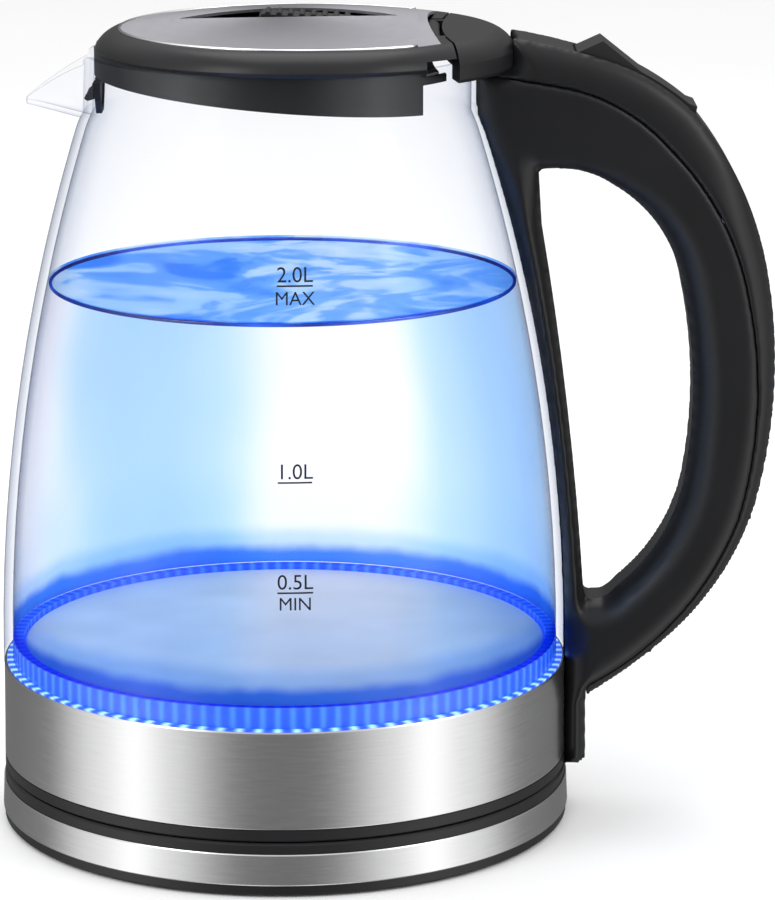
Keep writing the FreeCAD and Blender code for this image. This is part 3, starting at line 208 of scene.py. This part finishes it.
def brushed_round(name, colour, roughness, relief=0.10, lines=2600.0):
    """Steel brushed around its own axis: hair lines run round, and the shine spreads across them."""
    mat, tree, shader, _ = new_material(name)
    _, axis = object_axes(tree)
    angle = math_node(tree, "ARCTAN2", axis["Y"], axis["X"])
    reach = math_node(tree, "SQRT", math_node(
        tree, "ADD",
        math_node(tree, "MULTIPLY", axis["X"], axis["X"]),
        math_node(tree, "MULTIPLY", axis["Y"], axis["Y"]),
    ))
    join = tree.nodes.new("ShaderNodeCombineXYZ")
    tree.links.new(math_node(tree, "MULTIPLY", math_node(tree, "COSINE", angle), 0.004), join.inputs[0])
    tree.links.new(reach, join.inputs[1])
    tree.links.new(axis["Z"], join.inputs[2])
    hair = noise(tree, join.outputs[0], lines, 4.0)
    shade = tuple(0.93 * c for c in colour)
    light = tuple(min(1.0, 1.05 * c) for c in colour)
    tree.links.new(mixed_colour(tree, hair, shade, light), shader.inputs["Base Color"])
    tree.links.new(spread(tree, hair, roughness - 0.05, roughness + 0.06), shader.inputs["Roughness"])
    shader.inputs["Metallic"].default_value = 1.0
    shader.inputs["Anisotropic"].default_value = 0.55
    tangent = tree.nodes.new("ShaderNodeTangent")
    tangent.direction_type = "RADIAL"
    tangent.axis = "Z"
    tree.links.new(tangent.outputs["Tangent"], shader.inputs["Tangent"])
    bump(tree, shader, hair, relief, 0.02 * MM)
    return mat


def wire_mesh(name, colour):
    """Woven wire: two crossed waves in the relief."""
    mat, tree, shader, _ = new_material(name)
    where, _ = object_axes(tree)
    waves = []
    for direction in ("Y", "Z"):
        wave = tree.nodes.new("ShaderNodeTexWave")
        wave.bands_direction = direction
        wave.inputs["Scale"].default_value = 420.0
        tree.links.new(where, wave.inputs["Vector"])
        waves.append(wave.outputs["Fac"])
    weave = math_node(tree, "MAXIMUM", waves[0], waves[1])
    shade = tuple(0.25 * c for c in colour)
    tree.links.new(mixed_colour(tree, weave, shade, colour), shader.inputs["Base Color"])
    tree.links.new(spread(tree, weave, 0.5, 0.25), shader.inputs["Roughness"])
    shader.inputs["Metallic"].default_value = 1.0
    bump(tree, shader, weave, 0.5, 0.15 * MM)
    return mat


# ---------------------------------------------------------------- clear finishes


def see_through(name, tint_and_painted_light, gloss, roughness=0.03, edge_gloss=0.55):
    """A surface that lets the scene through in the colour it is given (the glass's tint with painted
    edge shade; painted lamp glow for the water), with a gloss that grows towards its edges.
    """
    mat, tree, shader, output = new_material(name)
    clear = tree.nodes.new("ShaderNodeBsdfTransparent")
    tree.links.new(tint_and_painted_light(tree), clear.inputs["Color"])
    where, _ = object_axes(tree)
    smear = noise(tree, where, 45.0, 3.0)
    shader.inputs["Base Color"].default_value = (0.9, 0.94, 1.0, 1.0)
    shader.inputs["Metallic"].default_value = 1.0
    tree.links.new(spread(tree, smear, roughness, roughness + 0.05), shader.inputs["Roughness"])
    bump(tree, shader, smear, 0.04, 0.4 * MM)
    facing = tree.nodes.new("ShaderNodeLayerWeight")
    facing.inputs["Blend"].default_value = 0.2
    share = tree.nodes.new("ShaderNodeMapRange")
    share.inputs["To Min"].default_value = gloss
    share.inputs["To Max"].default_value = edge_gloss
    tree.links.new(math_node(tree, "POWER", facing.outputs["Facing"], 3.0), share.inputs["Value"])
    mix = tree.nodes.new("ShaderNodeMixShader")
    tree.links.new(share.outputs["Result"], mix.inputs["Fac"])
    tree.links.new(clear.outputs["BSDF"], mix.inputs[1])
    tree.links.new(shader.outputs["BSDF"], mix.inputs[2])
    tree.links.new(mix.outputs["Shader"], output.inputs["Surface"])
    return mat


def glass_tint_and_painted_edge_shade(tree):
    """The glass's own near-white tint face on, and a painted shade that turns it smoky blue where the
    wall is seen edge on.
    """
    facing = tree.nodes.new("ShaderNodeLayerWeight")
    facing.inputs["Blend"].default_value = 0.5
    # Painted edge shade: the darker stops colour the wall where it is seen edge on.
    return ramp(tree, facing.outputs["Facing"], (
        (0.0, (0.995, 0.996, 1.0)),
        (0.50, (0.97, 0.975, 0.99)),
        (0.75, (0.88, 0.895, 0.925)),
        (0.90, (0.66, 0.68, 0.74)),
        (1.0, (0.28, 0.30, 0.36)),
    ))


def band_angle(tree, axis):
    """The angle from the front or the back, whichever is nearer, positive towards the handle."""
    depth = math_node(tree, "ABSOLUTE", axis["Y"])
    return math_node(tree, "ARCTAN2", axis["X"], depth)


def water_painted_glow(tree):
    """Painted lamp glow for the clear water: clear to pale blue in broad upright stripes, and deep lamp
    blue near the plate.
    """
    where, axis = object_axes(tree)
    angle = band_angle(tree, axis)
    wander = math_node(tree, "MULTIPLY", noise(tree, where, 14.0, 2.0), 0.5)
    swing = math_node(tree, "COSINE", math_node(
        tree, "MULTIPLY", math_node(tree, "ADD", angle, math_node(tree, "SUBTRACT", wander, 0.45)), 4.0))
    # Painted lamp light: upright blue stripes set by the angle round the jug.
    painted_glow_bands = ramp(tree, spread_from(tree, swing, -1.0, 1.0), (
        (0.0, (0.61, 0.78, 0.985)),
        (0.45, (0.72, 0.86, 0.99)),
        (0.80, (0.955, 0.965, 0.995)),
        (1.0, (0.965, 0.965, 0.995)),
    ))
    # Painted lamp glow: deep blue near the plate, fading upwards.
    height = spread_from(tree, math_node(
        tree, "ADD", axis["Z"], math_node(tree, "MULTIPLY", noise(tree, where, 60.0, 3.0), 4.0 * MM)),
        PLATE_TOP, PLATE_TOP + 40.0 * MM)
    depth = ramp(tree, height, (
        (0.0, (0.02, 0.10, 0.62)),
        (0.16, (0.05, 0.22, 0.88)),
        (0.27, (0.55, 0.74, 1.0)),
        (0.42, (0.90, 0.95, 1.0)),
        (1.0, (1.0, 1.0, 1.0)),
    ), "EASE")
    node = tree.nodes.new("ShaderNodeMix")
    node.data_type = "RGBA"
    node.blend_type = "MULTIPLY"
    node.inputs[0].default_value = 1.0
    tree.links.new(painted_glow_bands, node.inputs[6])
    tree.links.new(depth, node.inputs[7])
    return node.outputs[2]


def surface_painted_glow(tree):
    """The water's top: painted lamp glow, blue with paler swirls."""
    where, _ = object_axes(tree)
    swirl = noise(tree, where, 26.0, 4.0, 1.6)
    return ramp(tree, swirl, (
        (0.30, (0.05, 0.26, 0.95)),
        (0.46, (0.16, 0.42, 0.97)),
        (0.58, (0.45, 0.68, 1.0)),
        (0.75, (0.62, 0.80, 1.0)),
    ), "EASE")


# Painted shade tinted with lamp blue: a dark navy line round the water's edge.
def meniscus_painted_shade(tree):
    where, _ = object_axes(tree)
    return ramp(tree, noise(tree, where, 30.0), (
        (0.35, (0.02, 0.09, 0.42)),
        (0.65, (0.20, 0.42, 0.95)),
    ))


def lamp_lit(name, count, low, high, strength):
    """Clear plastic lit from within: a row of bright dots round the ring over a deep blue."""
    mat, tree, shader, _ = new_material(name)
    where, axis = object_axes(tree)
    angle = math_node(tree, "ARCTAN2", axis["Y"], axis["X"])
    dots = spread_from(tree, math_node(
        tree, "COSINE", math_node(tree, "MULTIPLY", angle, float(count))), -1.0, 1.0)
    patch = noise(tree, where, 22.0, 2.0)
    sharp = math_node(tree, "POWER", dots, 2.0)
    blend = math_node(tree, "MULTIPLY", sharp, spread(tree, patch, 0.3, 1.3))
    glow = mixed_colour(tree, blend, low, high)
    tree.links.new(glow, shader.inputs["Base Color"])
    tree.links.new(glow, shader.inputs["Emission Color"])
    shader.inputs["Emission Strength"].default_value = strength
    tree.links.new(spread(tree, patch, 0.15, 0.35), shader.inputs["Roughness"])
    bump(tree, shader, dots, 0.1, 0.2 * MM)
    return mat


def finishes():
    """One finish for each material slot of the record."""
    return {
        "black_plastic": moulded("satin_black", (0.012, 0.012, 0.013), 0.34),
        "handle_plastic": moulded("handle_black", (0.010, 0.010, 0.011), 0.34, 1900.0),
        "lid_plastic": moulded("lid_black", (0.010, 0.010, 0.011), 0.30),
        "rocker_plastic": moulded("rocker_black", (0.017, 0.017, 0.018), 0.40),
        "foot_rubber": moulded("foot_rubber", (0.025, 0.025, 0.025), 0.75, 900.0, 0.3),
        "brushed_steel_trim": brushed_round("satin_steel", (0.60, 0.60, 0.605), 0.2, 0.03),
        "lid_steel": brushed_round("lid_steel", (0.60, 0.59, 0.63), 0.33, 0.05),
        "plate_steel": moulded("plate_steel", (0.84, 0.84, 0.88), 0.45, 900.0, 0.08, 0.5, 0.15),
        "element_steel": moulded("element_steel", (0.45, 0.44, 0.42), 0.45, 700.0, 0.2, 0.5, 1.0),
        "screw_steel": moulded("screw_steel", (0.58, 0.58, 0.58), 0.3, 900.0, 0.1, 0.5, 1.0),
        "spring_steel": moulded("spring_steel", (0.52, 0.52, 0.54), 0.28, 1200.0, 0.1, 0.5, 1.0),
        "filter_steel": wire_mesh("filter_steel", (0.6, 0.6, 0.61)),
        "contact_brass": moulded("contact_brass", (0.70, 0.52, 0.27), 0.28, 800.0, 0.1, 0.5, 1.0),
        "bimetal": moulded("bimetal", (0.62, 0.50, 0.36), 0.35, 700.0, 0.1, 0.5, 1.0),
        "spreader_aluminium": moulded("rolled_aluminium", (0.74, 0.74, 0.75), 0.4, 500.0, 0.2, 0.5, 1.0),
        "controller_plastic": moulded("controller_cream", (0.70, 0.68, 0.62), 0.5, 1200.0, 0.1),
        "lead_insulation": moulded("lead_sleeve", (0.22, 0.12, 0.07), 0.55, 1400.0, 0.25),
        # Painted glow: the clear gasket is no lamp, and the blue light that it passes from the lamp is
        # painted in as emission.
        "clear_silicone": lamp_lit("lit_gasket", 120, (0.01, 0.07, 0.62), (0.04, 0.18, 0.90), 0.8),
        "light_guide_clear": lamp_lit("lit_guide", 96, (0.02, 0.08, 0.9), (0.4, 0.75, 1.0), 1.2),
        "board_green": moulded("board_green", (0.02, 0.16, 0.06), 0.3, 600.0, 0.2),
        "lamp_blue": lamp_lit("lamp_blue", 16, (0.05, 0.2, 1.0), (0.5, 0.8, 1.0), 3.0),
        "jug_glass": see_through("jug_glass", glass_tint_and_painted_edge_shade, 0.012, 0.02, 0.16),
    }


def dress_frame(table):
    """Every CAD node takes the finish of its slot."""
    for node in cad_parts.values():
        for place in node.material_slots:
            slot = place.material.name.split(".")[0]
            place.material = table[slot]


# ---------------------------------------------------------------- pieces


def add_piece(name, mesh, material, body):
    piece = bpy.data.objects.new(name, mesh)
    bpy.context.scene.collection.objects.link(piece)
    mesh.materials.clear()
    mesh.materials.append(material)
    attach(piece, body)
    return piece


def tree_of(node):
    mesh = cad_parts[node].data
    points = [v.co.copy() for v in mesh.vertices]
    faces = [tuple(p.vertices) for p in mesh.polygons]
    return BVHTree.FromPolygons(points, faces)


def inner_radius(tree, height):
    """The radius of the glass's inner wall at a height, read on the side away from spout and handle."""
    hit = tree.ray_cast(Vector((0.0, 0.0, height)), Vector((0.0, -1.0, 0.0)))[0]
    return abs(hit.y)


def outer_point(tree, x, height):
    hit = tree.ray_cast(Vector((x, -2.0 * BASE_RADIUS, height)), Vector((0.0, 1.0, 0.0)))
    return hit[0], hit[1]


def turned_mesh(name, profile):
    """A surface of revolution through (radius, height) points, smooth shaded."""
    build = bmesh.new()
    rings = []
    for radius, height in profile:
        if radius < 1e-6:
            rings.append([build.verts.new((0.0, 0.0, height))])
            continue
        rings.append([
            build.verts.new((
                radius * math.cos(2.0 * math.pi * step / RING_STEPS),
                radius * math.sin(2.0 * math.pi * step / RING_STEPS),
                height,
            ))
            for step in range(RING_STEPS)
        ])
    for low, high in zip(rings, rings[1:]):
        for step in range(RING_STEPS):
            after = (step + 1) % RING_STEPS
            corners = [
                low[step % len(low)], low[after % len(low)],
                high[after % len(high)], high[step % len(high)],
            ]
            build.faces.new(list(dict.fromkeys(corners)))
    for face in build.faces:
        face.smooth = True
    mesh = bpy.data.meshes.new(name)
    build.to_mesh(mesh)
    build.free()
    return mesh


def make_water():
    """The wall, the rippled top and the edge of the water, inside the glass, with painted lamp glow in
    the water and a painted dark line of shade at its edge.
    """
    glass = tree_of("glass_jug")
    bottom = GASKET_TOP + WATER_CLEAR
    heights = [bottom + (WATER_LEVEL - bottom) * n / WALL_STEPS for n in range(WALL_STEPS + 1)]
    wall = [(inner_radius(glass, z) - WATER_GAP, z) for z in heights]
    edge = inner_radius(glass, WATER_LEVEL + WATER_RISE) - WATER_GAP
    add_piece(
        "water_body", turned_mesh("water_body", wall),
        see_through("water_side", water_painted_glow, 0.01, 0.05, 0.25), "jug")
    top = [(edge, WATER_LEVEL + WATER_RISE)]
    for n in range(1, RISE_STEPS):
        fade = n / RISE_STEPS
        top.append((edge - RISE_WIDTH * fade, WATER_LEVEL + WATER_RISE * (1.0 - fade) ** 2.5))
    level = edge - RISE_WIDTH
    top += [(level - level * n / LEVEL_STEPS, WATER_LEVEL) for n in range(LEVEL_STEPS + 1)]
    add_piece(
        "water_surface", turned_mesh("water_surface", top),
        see_through("water_top", surface_painted_glow, 0.03, 0.05, 0.3), "jug")
    rim = []
    for n in range(EDGE_SIDES + 1):
        turn = 2.0 * math.pi * n / EDGE_SIDES
        rim.append((
            edge - 0.5 * MM + 0.45 * MM * math.cos(turn),
            WATER_LEVEL + 0.1 * MM + 0.5 * MM * math.sin(turn),
        ))
    add_piece(
        "water_edge", turned_mesh("water_edge", rim),
        see_through("water_edge", meniscus_painted_shade, 0.05, 0.05, 0.4), "jug")


def tube(name, path, radius, sides=10):
    """A round bar along a path of points in one level plane, with closed ends."""
    build = bmesh.new()
    rings = []
    for index, point in enumerate(path):
        ahead = path[min(index + 1, len(path) - 1)] - path[max(index - 1, 0)]
        across = Vector((ahead.y, -ahead.x, 0.0)).normalized()
        rings.append([
            build.verts.new(
                point + across * radius * math.cos(2.0 * math.pi * n / sides)
                + Vector((0.0, 0.0, radius * math.sin(2.0 * math.pi * n / sides))))
            for n in range(sides)
        ])
    for low, high in zip(rings, rings[1:]):
        for n in range(sides):
            face = build.faces.new((low[n], low[(n + 1) % sides], high[(n + 1) % sides], high[n]))
            face.smooth = True
    build.faces.new(rings[0])
    build.faces.new(rings[-1])
    bmesh.ops.recalc_face_normals(build, faces=build.faces)
    mesh = bpy.data.meshes.new(name)
    build.to_mesh(mesh)
    build.free()
    return mesh


def make_lid_line():
    """The polished bevel that runs round the steel disc, open where the disc is cut off behind."""
    low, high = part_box("lid_disc")
    radius = (high.y - low.y) / 2.0 - LINE_INSET
    middle = low.x + (high.y - low.y) / 2.0
    opening = math.acos((high.x - LINE_INSET - LINE_END - middle) / radius)
    path = []
    for n in range(LINE_STEPS + 1):
        turn = opening + (2.0 * math.pi - 2.0 * opening) * n / LINE_STEPS
        path.append(Vector((middle + radius * math.cos(turn), radius * math.sin(turn), DISC_EDGE)))
    polish = moulded("polished_bevel", (0.92, 0.92, 0.94), 0.14, 700.0, 0.02, 0.5, 1.0)
    add_piece("lid_bevel_line", tube("lid_bevel_line", path, LINE_RADIUS), polish, "lid")


def make_spring(material):
    """The latch spring again, as a copy with its own mesh that rides with the lid."""
    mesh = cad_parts["latch_spring"].data.copy()
    piece = add_piece("latch_spring_coil", mesh, material, "lid")
    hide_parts("latch_spring")
    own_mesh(piece)


def text_mesh(words, size):
    """A line of lettering as a flat mesh, centred, with x to the right and y up."""
    curve = bpy.data.curves.new("mark_text", "FONT")
    curve.body = words
    curve.size = size
    curve.align_x = "CENTER"
    curve.resolution_u = 6
    holder = bpy.data.objects.new("mark_text", curve)
    bpy.context.scene.collection.objects.link(holder)
    bpy.context.view_layer.update()
    mesh = bpy.data.meshes.new_from_object(holder.evaluated_get(bpy.context.evaluated_depsgraph_get()))
    bpy.data.objects.remove(holder)
    bpy.data.curves.remove(curve)
    return mesh


def make_marks(ink):
    """Printed volume marks, laid on the front of the glass."""
    glass = tree_of("glass_jug")
    build = bmesh.new()
    lines = (
        ("2.0L", 164.1 * MM, 5.6 * MM, 162.9 * MM, 9.4 * MM),
        ("MAX", 158.3 * MM, 4.9 * MM, None, 0.0),
        ("1.0L", 113.6 * MM, 5.6 * MM, 112.4 * MM, 9.0 * MM),
        ("0.5L", 84.6 * MM, 5.6 * MM, 83.4 * MM, 9.4 * MM),
        ("MIN", 79.0 * MM, 4.9 * MM, None, 0.0),
    )
    for words, foot, size, rule, width in lines:
        letters = text_mesh(words, size)
        start = len(build.verts)
        build.from_mesh(letters)
        build.verts.ensure_lookup_table()
        for vert in build.verts[start:]:
            vert.co = Vector((MARK_CENTRE_X + vert.co.x, 0.0, foot + vert.co.y))
        bpy.data.meshes.remove(letters)
        if rule is None:
            continue
        row = []
        for n in range(MARK_STEPS + 1):
            x = MARK_CENTRE_X - width / 2.0 + width * n / MARK_STEPS
            row.append([build.verts.new((x, 0.0, z)) for z in (rule, rule + MARK_RULE)])
        for left, right in zip(row, row[1:]):
            build.faces.new((left[0], right[0], right[1], left[1]))
    for vert in build.verts:
        point, normal = outer_point(glass, vert.co.x, vert.co.z)
        vert.co = point + normal * MARK_LIFT
    bmesh.ops.recalc_face_normals(build, faces=build.faces)
    mesh = bpy.data.meshes.new("volume_marks")
    build.to_mesh(mesh)
    build.free()
    add_piece("volume_marks", mesh, ink, "jug")


def side_outline(node):
    """Points along the outline of a handle half's near side, about a millimetre apart."""
    build = bmesh.new()
    build.from_mesh(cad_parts[node].data)
    bmesh.ops.remove_doubles(build, verts=build.verts, dist=WELD)
    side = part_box(node)[0].y + WELD
    points = []
    for edge in build.edges:
        flat = [face for face in edge.link_faces if face.normal.y < -0.99]
        if len(edge.link_faces) != 2 or len(flat) != 1 or max(v.co.y for v in edge.verts) > side:
            continue
        first, last = (vert.co for vert in edge.verts)
        steps = 1 + int((last - first).length / OUTLINE_STEP)
        points += [first.lerp(last, n / steps) for n in range(steps)]
    build.free()
    return [Vector((point.x, 0.0, point.z)) for point in points]


def tree_of_points(points):
    tree = KDTree(len(points))
    for index, point in enumerate(points):
        tree.insert(point, index)
    tree.balance()
    return tree


def free_outline(first, second):
    """The two outlines without the seam that they share."""
    near_first, near_second = tree_of_points(first), tree_of_points(second)
    kept = [point for point in first if near_second.find(point)[2] > SEAM_WIDTH]
    kept += [point for point in second if near_first.find(point)[2] > SEAM_WIDTH]
    return tree_of_points(kept)


def smooth_step(value, low, high):
    share = min(max((value - low) / (high - low), 0.0), 1.0)
    return share * share * (3.0 - 2.0 * share)


def rounded_half(node, edges, material):
    """A handle half with full, soft sides: it thins towards its free edges, and not at the seam."""
    mesh = bpy.data.meshes.new(node + "_soft")
    build = bmesh.new()
    build.from_mesh(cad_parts[node].data)
    bmesh.ops.remove_doubles(build, verts=build.verts, dist=WELD)
    build.to_mesh(mesh)
    build.free()
    holder = bpy.data.objects.new(node + "_soft", mesh)
    bpy.context.scene.collection.objects.link(holder)
    voxels = holder.modifiers.new("voxels", "REMESH")
    voxels.mode = "VOXEL"
    voxels.voxel_size = HANDLE_VOXEL
    relax = holder.modifiers.new("relax", "SMOOTH")
    relax.factor = 0.5
    relax.iterations = 4
    bpy.context.view_layer.update()
    soft = bpy.data.meshes.new_from_object(holder.evaluated_get(bpy.context.evaluated_depsgraph_get()))
    bpy.data.objects.remove(holder)
    bpy.data.meshes.remove(mesh)
    for vert in soft.vertices:
        core = GRIP_CORE + (ROCKER_CORE - GRIP_CORE) * smooth_step(vert.co.z, CORE_LOW, CORE_HIGH)
        reach = abs(vert.co.y)
        if reach <= core:
            continue
        inset = edges.find(Vector((vert.co.x, 0.0, vert.co.z)))[2]
        share = min(inset / ROUNDING, 1.0)
        curve = math.sqrt(max(1.0 - (1.0 - share) ** 2, 0.0))
        vert.co.y = math.copysign(core + (reach - core) * curve, vert.co.y)
    for face in soft.polygons:
        face.use_smooth = True
    piece = add_piece(node + "_soft", soft, material, "jug")
    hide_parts(node)


def make_handle(material):
    halves = ("handle_body", "handle_cover")
    edges = free_outline(*(side_outline(node) for node in halves))
    for node in halves:
        rounded_half(node, edges, material)


# ---------------------------------------------------------------- studio


def make_floor():
    """A plain pale floor, wide enough to fill the view."""
    build = bmesh.new()
    half = FLOOR_HALF
    corners = ((-half, -half), (half, -half), (half, half), (-half, half))
    build.faces.new([build.verts.new((x, y, 0.0)) for x, y in corners])
    mesh = bpy.data.meshes.new("floor")
    build.to_mesh(mesh)
    build.free()
    floor = bpy.data.objects.new("floor", mesh)
    bpy.context.scene.collection.objects.link(floor)
    mat, tree, shader, _ = new_material("pale_floor")
    where, _ = object_axes(tree)
    cloud = noise(tree, where, 3.0, 2.0)
    tone = mixed_colour(tree, cloud, (0.93, 0.93, 0.93), (0.95, 0.95, 0.95))
    tree.links.new(tone, shader.inputs["Base Color"])
    tree.links.new(spread(tree, cloud, 0.75, 0.85), shader.inputs["Roughness"])
    shader.inputs["Specular IOR Level"].default_value = 0.1
    mesh.materials.append(mat)
    floor.visible_glossy = False


def make_world():
    """White for the eye and for matt surfaces; banded grey softboxes for what shines."""
    world = bpy.data.worlds.new("studio")
    world.cycles.sampling_method = "NONE"
    bpy.context.scene.world = world
    world.use_nodes = True
    tree = world.node_tree
    tree.nodes.clear()
    output = tree.nodes.new("ShaderNodeOutputWorld")
    even = tree.nodes.new("ShaderNodeBackground")
    even.inputs["Color"].default_value = (1.0, 1.0, 1.0, 1.0)
    even.inputs["Strength"].default_value = 0.96
    boxes = tree.nodes.new("ShaderNodeBackground")
    coords = tree.nodes.new("ShaderNodeTexCoord")
    split = tree.nodes.new("ShaderNodeSeparateXYZ")
    tree.links.new(coords.outputs["Generated"], split.inputs[0])
    across = math_node(tree, "SQRT", math_node(
        tree, "ADD",
        math_node(tree, "MULTIPLY", split.outputs["X"], split.outputs["X"]),
        math_node(tree, "MULTIPLY", split.outputs["Y"], split.outputs["Y"]),
    ))
    toward = math_node(tree, "DIVIDE", math_node(tree, "MULTIPLY", split.outputs["Y"], -1.0), across)
    around = ramp(tree, spread_from(tree, toward, -1.0, 1.0), (
        (0.0, (0.10, 0.10, 0.10)),
        (0.30, (0.14, 0.14, 0.14)),
        (0.60, (0.66, 0.66, 0.66)),
        (0.74, (1.0, 1.0, 1.0)),
        (0.86, (0.60, 0.60, 0.60)),
        (1.0, (0.12, 0.12, 0.12)),
    ), "EASE")
    above = spread_from(tree, split.outputs["Z"], 0.25, 0.8)
    tree.links.new(mixed_colour(tree, above, around, (0.55, 0.55, 0.56)), boxes.inputs["Color"])
    boxes.inputs["Strength"].default_value = 1.9
    path = tree.nodes.new("ShaderNodeLightPath")
    mix = tree.nodes.new("ShaderNodeMixShader")
    tree.links.new(path.outputs["Is Glossy Ray"], mix.inputs["Fac"])
    tree.links.new(even.outputs[0], mix.inputs[1])
    tree.links.new(boxes.outputs[0], mix.inputs[2])
    tree.links.new(mix.outputs[0], output.inputs["Surface"])


def softbox(name, place, target, width, height, power):
    light = bpy.data.lights.new(name, "AREA")
    light.shape = "RECTANGLE"
    light.size = width
    light.size_y = height
    light.energy = power
    lamp = bpy.data.objects.new(name, light)
    bpy.context.scene.collection.objects.link(lamp)
    lamp.location = place
    lamp.rotation_euler = (Vector(target) - Vector(place)).to_track_quat("-Z", "Y").to_euler()


def make_lights():
    middle = (0.03, 0.0, 0.12)
    softbox("key_left", (-0.9, -0.8, 1.0), middle, 0.5, 0.9, 5.0)
    softbox("fill_right", (1.1, -0.6, 0.9), middle, 0.5, 0.9, 4.0)
    softbox("overhead", (0.0, 0.3, 1.3), middle, 0.9, 0.9, 5.0)


def make_camera():
    data = bpy.data.cameras.new("camera")
    data.sensor_fit = "VERTICAL"
    data.sensor_height = SENSOR
    data.lens = LENS
    camera = bpy.data.objects.new("camera", data)
    bpy.context.scene.collection.objects.link(camera)
    camera.location = CAMERA_PLACE
    camera.rotation_euler = (math.radians(90.0) - CAMERA_DIP, 0.0, 0.0)
    bpy.context.scene.camera = camera


bpy.context.scene.view_settings.view_transform = "Standard"
bpy.context.scene.cycles.transparent_max_bounces = 32
make_camera()
make_world()
make_lights()
make_floor()
table = finishes()
dress_frame(table)
make_water()
make_marks(moulded("mark_ink", (0.01, 0.012, 0.02), 0.4))
make_handle(table["handle_plastic"])
make_lid_line()
make_spring(table["spring_steel"])
